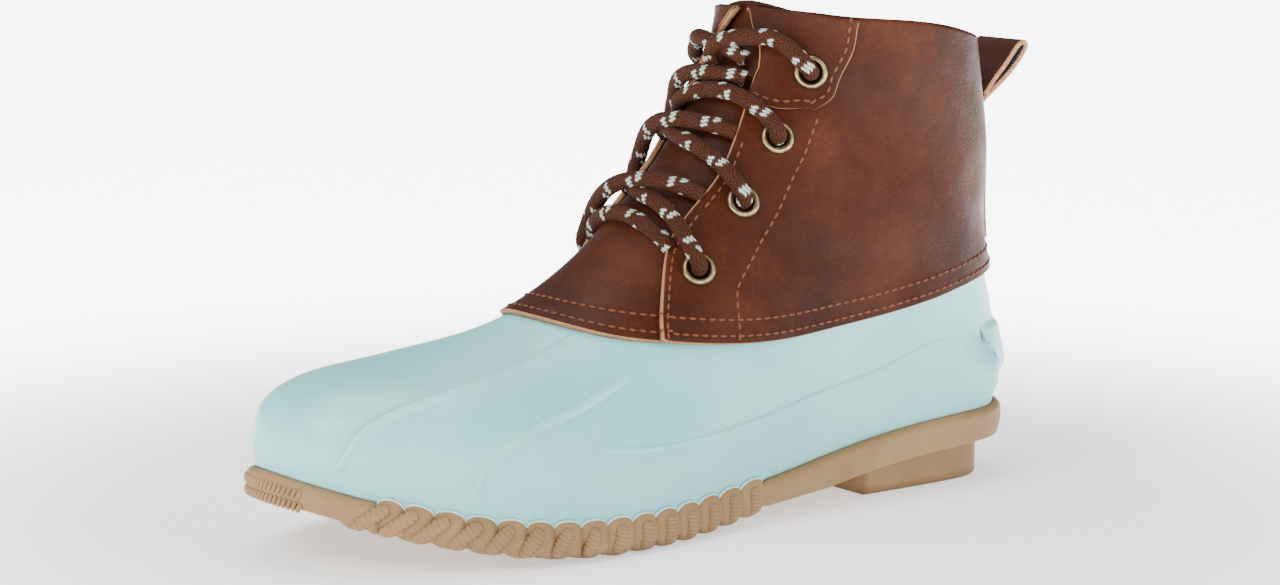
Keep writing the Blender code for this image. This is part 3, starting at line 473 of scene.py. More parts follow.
def piece(name, points, materials, slot, flip=False, wrap=False, **values):
    """A smooth sheet or tube through a grid of points, with values stored at them."""
    rows, columns = points.shape[:2]
    body = bmesh.new()
    bmesh.ops.create_grid(body, x_segments=columns - 1, y_segments=rows - 1, size=1)
    if flip:
        bmesh.ops.reverse_faces(body, faces=body.faces)
    mesh = mesh_of(name, body)
    flat = np.empty(3 * len(mesh.vertices))
    mesh.vertices.foreach_get("co", flat)
    flat = flat.reshape(-1, 3)
    i = np.round((flat[:, 1] + 1) / 2 * (rows - 1)).astype(int)
    j = np.round((flat[:, 0] + 1) / 2 * (columns - 1)).astype(int)
    mesh.vertices.foreach_set("co", in_world(points[i, j]).ravel())
    for key, value in values.items():
        layer = mesh.attributes.new(key, "FLOAT", "POINT")
        layer.data.foreach_set("value", value[i, j])
    if wrap:
        body = bmesh.new()
        body.from_mesh(mesh)
        bmesh.ops.remove_doubles(body, verts=body.verts, dist=0.000002)
        body.to_mesh(mesh)
        body.free()
    return put(name, mesh, materials)


def wall(shape, thickness, inside=0, edge=0):
    """Gives a sheet its thickness, with materials of their own inside and on its cut edge."""
    solid = shape.modifiers.new("Wall", "SOLIDIFY")
    solid.thickness = thickness * MM
    solid.offset = -1
    solid.material_offset = inside
    solid.material_offset_rim = edge


mint = new_material("mint_rubber")
soft = mottled(mint, noise(mint, 26, 3), (0.21, 0.60, 0.60), (0.28, 0.68, 0.68))
chalky = node(mint, "MapRange", {"Value": noise(mint, 300, 5, 0.7), "From Min": 0.62, "From Max": 0.8,
                                 "To Max": 0.25}).outputs[0]
soft = mix(mint, chalky, soft, (0.38, 0.76, 0.75))
# Painted highlight: where the attribute low is small the mint turns paler, along the shell's lip over the
# outsole, on the lip tubes and on the ribs' crests.
low = node(mint, "Attribute", attribute_name="low").outputs["Fac"]
painted_highlight = node(mint, "MapRange", {"Value": low, "From Min": 2.6, "From Max": 1.2}).outputs[0]
soft = mix(mint, painted_highlight, soft, (0.50, 0.80, 0.76))
finish_material(mint, soft, mottled(mint, noise(mint, 60, 4), 0.33, 0.44),
                bump(mint, (noise(mint, 700, 3), 0.05, 0.35), (noise(mint, 70, 3), 0.5, 0.25)),
                **{"Coat Weight": 0.12, "Coat Roughness": 0.35})

# The shell's top runs this far up inside the leather, whose foot keeps these heights along
# the boot: from heel, height
SHELL_TUCK = 12.0
LEATHER_EDGE_HEIGHT = [(-6, 74.0), (16, 72.0), (36, 68.6), (62, 64.2), (89, 60.9), (114, 59.2),
                       (132, 59.5), (151, 60.9), (164, 62.6), (173, 64.9), (179, 67.0), (182, 68.2)]
leather_edge_height = read_pairs(LEATHER_EDGE_HEIGHT)
SHELL_TOP = [(7.6, 0.0), (7.7, 0.13), (7.95, 0.25), (8.45, 0.335), (9.1, 0.41), (10.2, 0.48),
             (11.5, 0.53), (13.0, 0.56), (14.6, 0.60), (15.7, 0.72), (16.1, 0.88), (16.15, 1.0)]
shell_wall, tucked_in, heel_band = 2.6, 1.1, 1.25
band_foot, band_top, band_edge = 36.2, 54.3, 2.2

# Columns stand closer at the toe's tip and at the heel's back, where the edge turns most
around = [0, 0.035, 0.075, 0.12, 0.17, 0.23, 0.31, 0.41, 0.52, 0.63, 0.73, 0.81, 0.87, 0.92, 0.96, 1]
around = np.interp(np.linspace(0, 1, 131), np.linspace(0, 1, 16), around)
row, share = mirrored(patch([(0.0, 1.0), (7.0, 1.0), (HEEL_BACK, 1.0)], SHELL_TOP,
                            [(0.0, 0.0), (4.0, 0.0), (7.6, 0.0)],
                            [(HEEL_BACK, 1.0), (15.0, 1.0), (16.15, 1.0)], around, 60,
                            (None, lambda s: leather_edge_height(s) + SHELL_TUCK)))
points, out = over_last(row, share)
s, z = points[..., 1], points[..., 2]
band = smooth_step((z - band_foot) / band_edge) * smooth_step((band_top - z) / band_edge)
under_leather = smooth_step((z - leather_edge_height(s)) / 5)
lift = heel_band * band * smooth_step((16 - s) / 8) - tucked_in * under_leather
lift[0] -= 0.2
points = points + out * lift[..., None]
# low is the height over the shell's foot, so its lowest couple of millimetres get the painted highlight.
shell = piece("rubber_shell", points, [mint, lining], "mint_rubber",
              low=points[..., 2] - shell_foot(points[..., 1]))
wall(shell, shell_wall, inside=1, edge=1)
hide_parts("shell")

INNER_RIB = [(1.75, 0.90), (1.95, 0.78), (2.09, 0.681), (2.42, 0.594), (3.07, 0.512),
               (3.82, 0.455), (5.16, 0.365), (6.42, 0.287), (7.3, 0.24)]
OUTER_RIB = [(3.8, 0.90), (3.88, 0.83), (4.0, 0.769), (4.29, 0.70), (5.05, 0.619),
               (6.17, 0.544), (6.93, 0.494), (7.75, 0.43)]
SIDE_RIB = [(5.84, 0.713), (6.49, 0.738), (7.39, 0.756), (8.26, 0.769), (9.52, 0.781), (10.82, 0.80),
            (12.16, 0.769), (13.3, 0.785)]
steps = np.linspace(0, 1, 110)
across = np.linspace(-1, 1, 15)
RIBS = [(INNER_RIB, 2.5, 1.7), (OUTER_RIB, 2.5, 1.7), (SIDE_RIB, 1.5, 0.7)]
for k, (line, half_width, height) in enumerate(RIBS):
    for side in (1, -1):
        way = trace(line, steps)
        centre, out = over_last(way[:, 0], side * way[:, 1])
        beside = unit(np.cross(out, np.gradient(centre, axis=0)))
        spread = centre[:, None] + half_width * across[:, None] * beside[:, None]
        at = nearest(spread.reshape(-1, 3)).reshape(*spread.shape[:2], 2)
        taper = smooth_step(steps / 0.06) * smooth_step((1 - steps) / 0.22)
        crown = np.cos(across * math.pi / 2) ** 2
        points = on_last(at[..., 0], at[..., 1], height * np.outer(taper, crown) - 0.09)
        # The ribs' crests get a small low, which paints a highlight along them.
        shape = piece(f"shell_rib_{2 * k + (1 if side > 0 else 2)}", points, [mint], "mint_rubber",
                      flip=side > 0, low=9.0 - 7.0 * np.outer(taper, crown ** 2))
        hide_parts("shell")


# Outsole: tan rubber moulded on below the shell. Its rim rises in half-round scallops, each
# with a small ribbed lug leaning down its face; fine bars cross the toe, the arch is plain.
tan = new_material("tan_rubber")
tan_soft = mottled(tan, noise(tan, 45, 4), (0.25, 0.138, 0.048), (0.34, 0.195, 0.075))
# Painted shade: ambient occlusion darkens the tan toward deep brown in the grooves round the lugs and where
# they meet the rim.
shaded = node(tan, "AmbientOcclusion", {"Distance": 0.004}).outputs["AO"]
shaded = node(tan, "MapRange", {"Value": shaded, "From Min": 0.3, "From Max": 0.95}).outputs[0]
tan_soft = mix(tan, shaded, (0.15, 0.07, 0.024), tan_soft)
finish_material(tan, tan_soft, mottled(tan, noise(tan, 160, 4), 0.46, 0.62),
                bump(tan, (noise(tan, 1500, 3), 0.08, 0.5), (noise(tan, 130, 4), 0.3, 0.35)))

# Height of the tread's lowest face: from heel, height
TREAD_FACE = [(60, 8.0), (110, 4.0), (140, 0.7), (150, 0.0), (200, 0.0), (212, 2.4), (240, 8.4),
              (262, 14.6), (273, 18.0)]
tread_face = read_pairs(TREAD_FACE)
lug_count, first_lug, last_lug = 15, 2.75, 8.1
pitch = (last_lug - first_lug) / (lug_count - 1)
plain_lip, scallop, lip_wall = 0.5, 2.4, 1.1
rim_out, rim_deep, fore_thinner = 3.2, 9.2, 2.6


def edge_station(signed_row):
    """Edge point of the last in plan, and the way out from it."""
    point = outline(signed_row)
    ahead = unit(outline(signed_row + 0.02) - outline(signed_row - 0.02))
    return point, np.array([ahead[1], -ahead[0]])


def place(signed_row, out, height):
    """Point at a distance out from the last's edge, at a height over the floor."""
    (edge_s, edge_x), (out_s, out_x) = edge_station(signed_row)
    return np.array([edge_x + out_x * out, edge_s + out_s * out, height])


def swell_at(signed_row, rise):
    """How far the shell swells past its foot line, a little way up."""
    half = section(min(abs(signed_row), HEEL_BACK - 0.01), math.copysign(1, signed_row))[::-1]
    (edge_s, edge_x), (out_s, out_x) = edge_station(signed_row)
    x, s = (np.interp(half[0, 2] + rise, half[:30, 2], half[:30, k]) for k in (0, 1))
    return max(0.12 * rise, (x - edge_x) * out_x + (s - edge_s) * out_s)


def lean_of(row):
    """How far a lug's foot stands nearer the toe than its head, in rows."""
    return 0.62 * max(0.0, (6.4 - row) / 3.65) ** 1.1


def dome(row):
    """Half-round waves of the rim, one over each lug."""
    phase = np.abs(2 * ((row - first_lug) / pitch % 1) - 1)
    return np.clip(1 - (1 - phase) ** 2.2, 0, 1) ** 0.6


def foot_at(signed_row):
    """Height of the shell's foot at a place on the edge."""
    return float(shell_foot(outline(signed_row)[0]))


def tread_at(signed_row):
    """Height of the tread's lowest face there, no lower than the floor."""
    return max(0.0, float(tread_face(outline(signed_row)[0])))


def rim_layers(signed_row, wave, is_lug):
    """Points of the rim over the lip, down the side and under the sole."""
    row = abs(signed_row)
    fore = float(np.clip((9.4 - row) / 1.2, 0, 1))
    foot = foot_at(signed_row)
    lip = plain_lip + scallop * wave if is_lug else 1.0
    swell = swell_at(signed_row, lip)
    out = rim_out - 1.1 * (1 - wave) * is_lug
    under = foot - rim_deep + fore * fore_thinner
    lowest = tread_at(signed_row) + 0.4
    foot_of = row + lean_of(row + lean_of(row))
    dip = dome(foot_of) * (first_lug - pitch / 2 < foot_of < last_lug + pitch / 2)
    low = max(under - 0.7 - 1.6 * dip, lowest)
    layers = [(-1.5, foot - 1.6), (0.2, foot - 0.6), (swell + 0.15, foot + lip - 0.1),
              (swell + lip_wall, foot + lip + 0.15),
              (max(out - 0.3, 0.5 * swell + 1.7), foot + 0.4 * lip - 0.6),
              (out, foot - 2.4), (out - 0.1, foot - 5.0), (out - 0.9, low + 1.0), (out - 2.6, low),
              (-6.0, low), (-8.6, max(under, lowest))]
    return [place(signed_row, away, height) for away, height in layers]


def even_rows(first, last, share, count):
    """Rows along one share of the last, spaced by length and by how sharply the line turns."""
    rows = np.linspace(first, last, 400)
    way = np.diff(on_last(rows, np.full(400, share)), axis=0)
    length = np.linalg.norm(way, axis=1)
    ahead = way / np.maximum(length, 1e-9)[:, None]
    turn = np.concatenate([[0], np.arccos(np.clip((ahead[1:] * ahead[:-1]).sum(axis=1), -1, 1))])
    effort = np.concatenate([[0], np.cumsum(length / 14 + np.minimum(turn, 0.2) / 0.3)])
    return np.interp(np.linspace(0, effort[-1], count), effort, rows)


def refined(grid, count):
    """A grid's rows joined by a smooth curve and read at more places."""
    flat = spline(range(len(grid)), grid.reshape(len(grid), -1))
    return flat(np.linspace(0, len(grid) - 1, count)).reshape(count, *grid.shape[1:])


lug_rows = first_lug - pitch / 2 + np.arange(12 * lug_count + 1) * pitch / 12
stations = [(row, 1.0, False) for row in np.linspace(0, lug_rows[0], 40)[:-1]]
stations += [(row, float(dome(row)), True) for row in lug_rows]
stations += [(row, 1.0, False) for row in even_rows(lug_rows[-1], HEEL_BACK, 1.0, 70)[1:]]
ring = [rim_layers(*station) for station in stations]
ring += [rim_layers(-station[0], *station[1:]) for station in stations[-2:0:-1]]
ring = np.array(ring + ring[:1])
rim = piece("outsole_rim", refined(ring.transpose(1, 0, 2), 41), [tan], "tan_rubber", flip=True, wrap=True)
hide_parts("outsole")

count = len(stations)
under = [np.linspace(ring[k, -1], ring[-1 - k, -1], 9) for k in range(count - 1)]
under.append(np.tile(ring[count - 1, -1], (9, 1)))
waist = piece("outsole_underside", np.array(under), [tan], "tan_rubber")
wall(waist, 2.0)
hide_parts("outsole")


def tube(path, normal, radius, around, high=1.0):
    """Grid of points round a path; normal is the side that high flattens or lifts."""
    ahead, normal = unit(np.gradient(path, axis=0)), unit(normal)
    normal = normal - (normal * ahead).sum(axis=1, keepdims=True) * ahead
    for i in range(len(path) - 2, -1, -1):
        if np.linalg.norm(normal[i]) < 0.6:
            normal[i] = unit(normal[i + 1] - (normal[i + 1] @ ahead[i]) * ahead[i])
    normal = unit(normal)
    beside = np.cross(ahead, normal)
    angle = np.linspace(0, 2 * math.pi, around + 1)
    radius, high = np.broadcast_to(radius, (len(path), around + 1)), np.broadcast_to(high, len(path))
    return (path[:, None] + (radius * np.cos(angle))[..., None] * beside[:, None]
            + (radius * np.sin(angle) * high[:, None])[..., None] * normal[:, None])


def way_out(signed_row, count):
    """The way out from the rim, once for each point of a path there."""
    return np.array([place(signed_row, 4.0, 0) - place(signed_row, 3.0, 0)] * count)


# Side lugs with their ribs, then the fine bars in two rows round the toe's rim
bars = []
for side in (1, -1):
    for k in range(lug_count):
        row = first_lug + k * pitch
        lean = lean_of(row)
        head = foot_at(side * row) + 1.1
        end = side * (row - lean)
        low = max(foot_at(end) - 8.6, tread_at(end)) + 0.7
        down = np.linspace(0, 1, 60)
        way = np.array([place(side * (row - share * lean), 2.3 - 1.3 * share ** 3,
                              head * (1 - share) + low * share) for share in down])
        ends = np.sqrt(np.clip(1 - np.abs(2 * down - 1) ** 5, 0, 1))
        ribbed = np.abs(np.sin(down * math.pi * 7.5)) ** 0.7
        bars.append(tube(way, way_out(side * row, 60), ((2.15 + 0.45 * ribbed) * ends)[:, None], 20))
    for height in (-2.2, -6.0):
        for k in range(10):
            row = (0.06 + 0.115 * k) * side
            middle = foot_at(row) + height
            way = np.array([place(row + lean, out, middle + up) for lean, out, up in
                            ((-0.05, 2.5, -1.75), (-0.02, 3.0, -0.6), (0.02, 3.0, 0.6), (0.05, 2.5, 1.75))])
            ends = np.sqrt(np.clip(1 - np.linspace(-1, 1, 14) ** 4, 0, 1))
            bars.append(tube(refined(way, 14), way_out(row, 14), 0.85 * ends[:, None], 10))
# A thin mint lip along the tops of the scallops, with low at zero so it is painted highlight all over.
for side in (1, -1):
    lip = []
    for row in lug_rows:
        rise = plain_lip + scallop * float(dome(row))
        lip.append(place(side * row, swell_at(side * row, rise) + 0.6, foot_at(side * row) + rise + 0.3))
    shape = tube(np.array(lip), np.tile([0.0, 0.0, 1.0], (len(lip), 1)), 0.48, 10)
    edge = piece(f"shell_lip_{'outer' if side > 0 else 'inner'}", shape, [mint], "mint_rubber",
                 low=np.zeros(shape.shape[:2]))
    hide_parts("shell")
for k, shape in enumerate(bars):
    lug = piece(f"outsole_lug_{k + 1}", shape, [tan], "tan_rubber", wrap=True)
    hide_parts("outsole")


def pad_side(signed_row):
    """One side of the forefoot's tread pad: up at the rim, its rounded edge, its face."""
    low, high = tread_at(signed_row), foot_at(signed_row) - 4.0
    return [place(signed_row, -6.0, high), place(signed_row, -6.0, low + 0.8), place(signed_row, -7.0, low)]


pad = []
for row in np.linspace(1.1, 8.7, 60):
    ends, others = pad_side(row), pad_side(-row)[::-1]
    middle = [ends[-1] * (1 - t) + others[0] * t for t in np.linspace(0, 1, 12)[1:-1]]
    pad.append(ends + middle + others)
tread = piece("outsole_tread", np.array(pad), [tan], "tan_rubber")
wall(tread, 1.5)
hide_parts("outsole")

# Heel block: rings up from a plain face, each an inset and a height, with a straight breast
heel_inset, heel_breast = 5.6, 64.0
HEEL_RINGS = [(1.1, 0.0), (1.1, 0.0), (0.7, 0.1), (0.25, 0.5), (0.0, 1.2), (-0.1, 6.0), (-0.1, 12.0),
              (-0.3, 17.8)]
rows = np.linspace(9.6, HEEL_BACK, 60)
signed = np.concatenate([rows, -rows[-2::-1]])
behind = np.array([place(row, -heel_inset, 0.0)[1] for row in signed]) < heel_breast - 3.0
rings = []
for extra, height in HEEL_RINGS:
    edge = np.array([place(row, -heel_inset - extra, height) for row in signed])
    breast = heel_breast - extra
    corners = [np.interp(breast, edge[:, 1][order], edge[:, 0][order])
               for order in (np.arange(59, -1, -1), np.arange(59, len(edge)))]
    front = [np.array([corners[1] * (1 - t) + corners[0] * t, breast, height]) for t in np.linspace(0, 1, 8)]
    level = np.array([front[-1], *edge[behind], *front])
    if not rings:
        level[:, :2] = level[:, :2] * 0.001 + np.array([0.0, 30.0]) * 0.999
    rings.append(level)
heel = piece("heel_block", np.array(rings), [tan], "tan_rubber", wrap=True)
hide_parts("outsole")


# Quarters and collar patches: waxed, mottled hide with a fine pebble grain, its cut edges left
# raw and pale. The two quarters meet up the heel under a seam, lap over the rubber and the
# vamp, and carry a patch each under the top eyelet.
leather = new_material("brown_leather")
hide = ramp(leather, noise(leather, 38, 5, 0.6), (0.28, (0.026, 0.0052, 0.0014)),
            (0.5, (0.046, 0.0095, 0.0025)), (0.74, (0.074, 0.0175, 0.0048)))
speck = ramp(leather, noise(leather, 700, 4, 0.7), (0.35, (0.72,) * 3), (0.62, (1.12,) * 3))
hide = mix(leather, 0.7, hide, speck, "MULTIPLY")
cut = node(leather, "Attribute", attribute_name="cut").outputs["Fac"]
cut = node(leather, "MapRange", {"Value": cut, "From Min": 0.62, "From Max": 0.78}).outputs[0]
hide = mix(leather, cut, hide, (0.36, 0.16, 0.065))
pebble = node(leather, "TexVoronoi", {"Vector": node(leather, "TexCoord").outputs["Object"],
                                      "Scale": 1150.0}, feature="F1").outputs["Distance"]
finish_material(leather, hide, mottled(leather, noise(leather, 90, 4), 0.42, 0.56),
                bump(leather, (pebble, 0.16, 0.55), (noise(leather, 2600, 2), 0.05, 0.4),
                     (noise(leather, 120, 4, 0.6), 0.6, 0.22)), **{"Specular IOR Level": 0.12})
raw = new_material("raw_leather_edge")
dark = node(raw, "Attribute", attribute_name="dark").outputs["Fac"]
fibre = mottled(raw, noise(raw, 800, 4), (0.30, 0.125, 0.05), (0.46, 0.23, 0.105))
finish_material(raw, mix(raw, dark, fibre, (0.085, 0.026, 0.012)), 0.85,
                bump(raw, (noise(raw, 2500, 4, 0.7), 0.25, 0.8)))

# Lines on the last, each a list of (row, share of the way from top line to edge), and the
# heights that the collar keeps along the boot: from heel, height
LEATHER_EDGE = [(6.8, 0.0), (6.9, 0.13), (7.05, 0.26), (7.47, 0.375), (7.94, 0.437), (8.73, 0.512),
                (9.41, 0.569), (10.42, 0.619), (11.76, 0.650), (13.4, 0.665), (14.7, 0.73),
                (15.45, 0.86), (15.65, 1.0)]
QUARTER_FRONT = [(7.94, 0.437), (8.19, 0.362), (8.77, 0.256), (9.27, 0.185), (9.92, 0.168),
                 (10.64, 0.158), (11.72, 0.125), (12.7, 0.095), (13.78, 0.075), (14.86, 0.066),
                 (17.3, 0.060)]
COLLAR_LINE = [(17.3, 0.060), (17.85, 0.16), (18.0, 0.26), (18.15, 0.36), (18.35, 0.52),
               (18.15, 0.65), (17.95, 0.78), (17.8, 1.0)]
PATCH_FOOT = [(12.78, 0.090), (12.9, 0.125), (13.2, 0.155), (13.75, 0.185)]
PATCH_REAR = [(13.75, 0.185), (14.6, 0.207), (15.66, 0.237), (16.95, 0.281), (18.05, 0.312)]
EYELETS = [(9.28, 0.297), (10.72, 0.234), (12.39, 0.186), (15.3, 0.171)]
COLLAR_HEIGHT = [(4, 149.2), (15, 151.9), (32, 156.4), (45, 159.2), (60, 160.8), (77, 162.4),
                 (87, 163.6), (95, 163.0)]
collar_height = read_pairs(COLLAR_HEIGHT)
leather_wall, patch_wall, patch_lift = 1.9, 1.3, 4.8
hole_radius, hole_depth, seat_lift, patch_seat = 0.0044, 0.014, 3.6, 1.8

holes = bmesh.new()
seats = []
for sign in (1, -1):
    for k, (row, share) in enumerate(EYELETS):
        lift = seat_lift + (patch_seat if k == 3 else 0.0)
        seat, above, beside = in_world(on_last([row, row, row + 0.3], np.full(3, sign * share),
                                               [lift, lift + 5, lift]))
        axis = Vector(above - seat).normalized()
        across = Vector(beside - seat)
        across = (across - across.dot(axis) * axis).normalized()
        turn = Matrix((across, axis.cross(across), axis)).transposed().to_4x4()
        seats.append((Matrix.Translation(seat) @ turn, f"{'outer' if sign > 0 else 'inner'}_{k + 1}"))
        bmesh.ops.create_cone(holes, cap_ends=True, segments=40, radius1=hole_radius, radius2=hole_radius,
                              depth=hole_depth, matrix=seats[-1][0])
punch = bpy.data.objects.new("lace_holes", mesh_of("lace_holes", holes))
tools = bpy.data.collections.new("tools")
bpy.context.scene.collection.children.link(tools)
tools.objects.link(punch)
punch.hide_render = True
punch.display_type = "WIRE"


def pierce(shape, folded=False):
    """Cuts the lace holes through a piece; folded is for one that touches itself at a corner."""
    made = shape.modifiers.new("Holes", "BOOLEAN")
    made.operation = "DIFFERENCE"
    made.object = punch
    made.solver = "EXACT"
    made.use_self = folded


side = patch(LEATHER_EDGE[4:], COLLAR_LINE, QUARTER_FRONT, [(15.6, 1.0), (16.6, 1.0), (17.8, 1.0)],
             90, 64, (leather_edge_height, collar_height))
row = np.concatenate([side[..., 0], side[:, -2::-1, 0]], axis=1)
share = np.concatenate([side[..., 1], -side[:, -2::-1, 1]], axis=1)
from_front = np.concatenate([np.arange(91), np.arange(89, -1, -1)]) / 90
lift = 2.4 + 1.2 * (1 - smooth_step((from_front - 0.2) / 0.16))
points, out = over_last(row, share)
s, z = points[..., 1], points[..., 2]
waves = (0.5 * np.sin(s / 15 + z / 19) * np.sin(z / 13 - s / 31 + 1.0)
         - 0.55 * np.exp(-((z - 78 - 0.25 * (s - 60)) / 5) ** 2) * np.exp(-((s - 75) / 26) ** 2))
calm = smooth_step((from_front - 0.1) / 0.15) * smooth_step(np.linspace(0, 1, 65) / 0.12)[:, None]
seam = -0.5 * np.exp(-(np.minimum(1 - np.abs(share), 1) * 60 / 1.1) ** 2) * (row > 15)
lip = 0.5 * np.exp(-(from_front / 0.012) ** 2)
points = points + out * (lift + waves * calm * 0.8 + seam + lip)[..., None]
cut = np.zeros(points.shape[:2])
cut[0] = 0.75
cut[:-1, [0, -1]] = 1.0
dark = np.zeros(cut.shape)
dark[-1] = 1.0
quarters = piece("quarters", points, [leather, lining, raw], "brown_leather", cut=cut, dark=dark)
wall(quarters, leather_wall, inside=1, edge=2)
pierce(quarters)
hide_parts("upper")

leathers = [quarters]
patch_edge = trace(PATCH_FOOT[:-1] + PATCH_REAR[1:], np.linspace(0, 1, 41))
for sign in (1, -1):
    field = patch(patch_edge[:14], COLLAR_LINE[:3] + PATCH_REAR[-1:], QUARTER_FRONT[7:], patch_edge[13:],
                  44, 44, (None, collar_height))
    field[:, 0, 1] += 0.004
    field[0, -1] = (field[0, -2] + field[1, -1]) / 2
    for _ in range(40):
        beside = field[1:-1, :-2] + field[1:-1, 2:]
        field[1:-1, 1:-1] = (field[:-2, 1:-1] + field[2:, 1:-1] + beside) / 4
    cut, dark = np.zeros((45, 45)), np.zeros((45, 45))
    cut[0] = 1.0
    cut[:-2, -1] = 1.0
    dark[-3:] = 1.0
    lift = np.full((45, 45), patch_lift)
    lift[[0, -1]] -= 0.15
    lift[:, [0, -1]] -= 0.15
    points = on_last(field[..., 0], sign * field[..., 1], lift)
    points[-1, :, 2] -= 0.5
    overlay = piece(f"collar_patch_{'outer' if sign > 0 else 'inner'}", points, [leather, raw, raw],
                    "brown_leather", flip=sign < 0, cut=cut, dark=dark)
    wall(overlay, patch_wall, inside=1, edge=2)
    pierce(overlay, folded=True)
    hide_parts("upper")
    leathers.append(overlay)


# Vamp and tongue: soft leather from the rubber up under the laces to the tongue's thick,
# rough-cut top, drawn as one sheet. The quarters lap over both its sides and hold it down.
TONGUE_TOP = [(18.35, 0.0), (18.3, 0.05), (18.15, 0.11), (17.75, 0.17)]
TONGUE_SIDE = [(8.73, 0.512), (8.95, 0.41), (9.24, 0.29), (10.7, 0.245), (12.7, 0.19), (15.0, 0.165),
               (17.75, 0.17)]
vamp_over = 0.7

# Creases across it: row, bend toward the sides, width in rows, depth
CREASES = [(10.5, 3, 0.07, 0.5), (11.75, -2, 0.06, 0.35), (9.0, 2.0, 0.09, 0.3), (13.4, 2, 0.08, 0.45),
           (14.8, -3, 0.08, 0.4)]
row, share = mirrored(patch(LEATHER_EDGE[:6], TONGUE_TOP,
                            [(6.8, 0.0), (9.0, 0.0), (12.0, 0.0), (15.0, 0.0), (18.35, 0.0)], TONGUE_SIDE,
                            48, 130, (lambda s: leather_edge_height(s) + vamp_over, None)))
points, out = over_last(row, share)
lift = 2.1 - 1.3 * smooth_step((row - 9.0) / 1.4)
creases = sum(-depth * np.exp(-((row - at - bend * share ** 2) / width) ** 2)
              for at, bend, width, depth in CREASES)
creases = creases * (1 - smooth_step((np.abs(share) - 0.14) / 0.05))
top = smooth_step((row - 17.4) / 0.9)
points = points + out * (lift + creases + 0.5 * top)[..., None]
points[..., 2] -= 1.6 * top
vamp = piece("vamp_and_tongue", points, [leather, lining, raw], "brown_leather", dark=top)
wall(vamp, leather_wall, inside=1, edge=2)
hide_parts("upper", "tongue")
leathers.append(vamp)


# Thread: thick rust-brown thread in lockstitch, each stitch sunk a little at both its ends.
# It runs double along the leather's foot, up the quarter's front, down its side and round the patch.
thread = new_material("rust_thread")
finish_material(thread, mottled(thread, noise(thread, 2500, 3), (0.085, 0.019, 0.004), (0.19, 0.047, 0.010)),
                0.7, bump(thread, (noise(thread, 6000, 2), 0.1, 0.6)))
stitch_spacing, stitch_length, thread_radius, sunk = 3.3, 2.6, 0.45, 0.12
bpy.context.view_layer.update()
graph = bpy.context.evaluated_depsgraph_get()
grounds = []
for shape in leathers:
    seen = shape.evaluated_get(graph)
    body = bmesh.new()
    body.from_mesh(seen.to_mesh())
    grounds.append(BVHTree.FromBMesh(body))
    body.free()


def sew(name, row, share):
    """Stitches along a line over the last, each laid on the leather it meets first from outside."""
    above = on_last(row, share, np.full(len(row), 12.0))
    under = on_last(row, share, np.full(len(row), -4.0))
    landed, ways = [], []
    for start, end in zip(in_world(above), in_world(under)):
        way = Vector(end - start).normalized()
        hits = [tree.ray_cast(Vector(start), way, 0.02) for tree in grounds]
        hits = [hit for hit in hits if hit[0] is not None]
        if hits:
            landed.append(min(hits, key=lambda found: found[3])[0])
            ways.append(-way)
    landed, ways = np.array(landed), np.array(ways)
    length = run_of(landed) / MM
    count = int(length[-1] / stitch_spacing)
    body = bmesh.new()
    for at in (np.arange(count) + 0.5) * length[-1] / count:
        ahead = Vector(np.subtract(*read_along([at + 1, at - 1], length, landed))).normalized()
        above = Vector(read_along(at, length, ways)).normalized()
        beside = ahead.cross(above).normalized()
        above = beside.cross(ahead)
        turn = Matrix((ahead * stitch_length / 2, beside * thread_radius,
                       above * thread_radius * 0.8)).transposed().to_4x4()
        middle = Vector(read_along(at, length, landed)) + above * sunk * MM
        bmesh.ops.create_uvsphere(body, u_segments=8, v_segments=5, radius=MM,
                                  matrix=Matrix.Translation(middle) @ turn)
    shape = put(name, mesh_of(name, body), [thread])
    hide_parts("upper")


SIDE_SEAM = [(8.95, 0.531), (9.49, 0.394), (10.42, 0.331), (11.80, 0.269), (12.95, 0.231), (13.9, 0.2)]
foot_rows = (2.3, 7.2)
front_inset, patch_inset = 2.8, 2.4
fractions = np.linspace(0, 1, 160)
for sign, name in ((1, "outer"), (-1, "inner")):
    for over in foot_rows:
        at = trace(LEATHER_EDGE[4:], fractions, lambda s: leather_edge_height(s) + over)
        sew(f"foot_stitches_{name}_{over:.0f}", at[3:-1, 0], sign * at[3:-1, 1])
    front = trace(QUARTER_FRONT, fractions)
    for first, last, part in ((4, 66, "low"), (68, 104, "high")):
        at = front[first:last]
        inset = on_last(at[:, 0], at[:, 1])
        away = front_inset / np.linalg.norm(on_last(at[:, 0], at[:, 1] + 0.02) - inset, axis=1) * 0.02
        sew(f"front_stitches_{name}_{part}", at[:, 0], sign * (at[:, 1] + away))
    at = trace(SIDE_SEAM, fractions)
    sew(f"side_stitches_{name}", at[:, 0], sign * at[:, 1])
    edge = trace(PATCH_FOOT[:-1] + PATCH_REAR[1:], fractions)
    points, out = over_last(edge[:, 0], edge[:, 1])
    inward = patch_inset * unit(np.cross(np.gradient(points, axis=0), out))
    inward *= np.sign((inward @ (on_last(15.6, 0.16) - points[80]))[80])
    at = nearest(points + inward)[3:-2]
    sew(f"patch_stitches_{name}", at[:, 0], sign * at[:, 1])
for over in foot_rows:
    at = trace(LEATHER_EDGE[:6], fractions, lambda s: leather_edge_height(s) + vamp_over + over)
    at = at[at[:, 1] < (0.415 if over < 3 else 0.355)]
    row, share = np.concatenate([at[:0:-1, 0], at[:, 0]]), np.concatenate([-at[:0:-1, 1], at[:, 1]])
    sew(f"vamp_stitches_{over:.0f}", row, share)


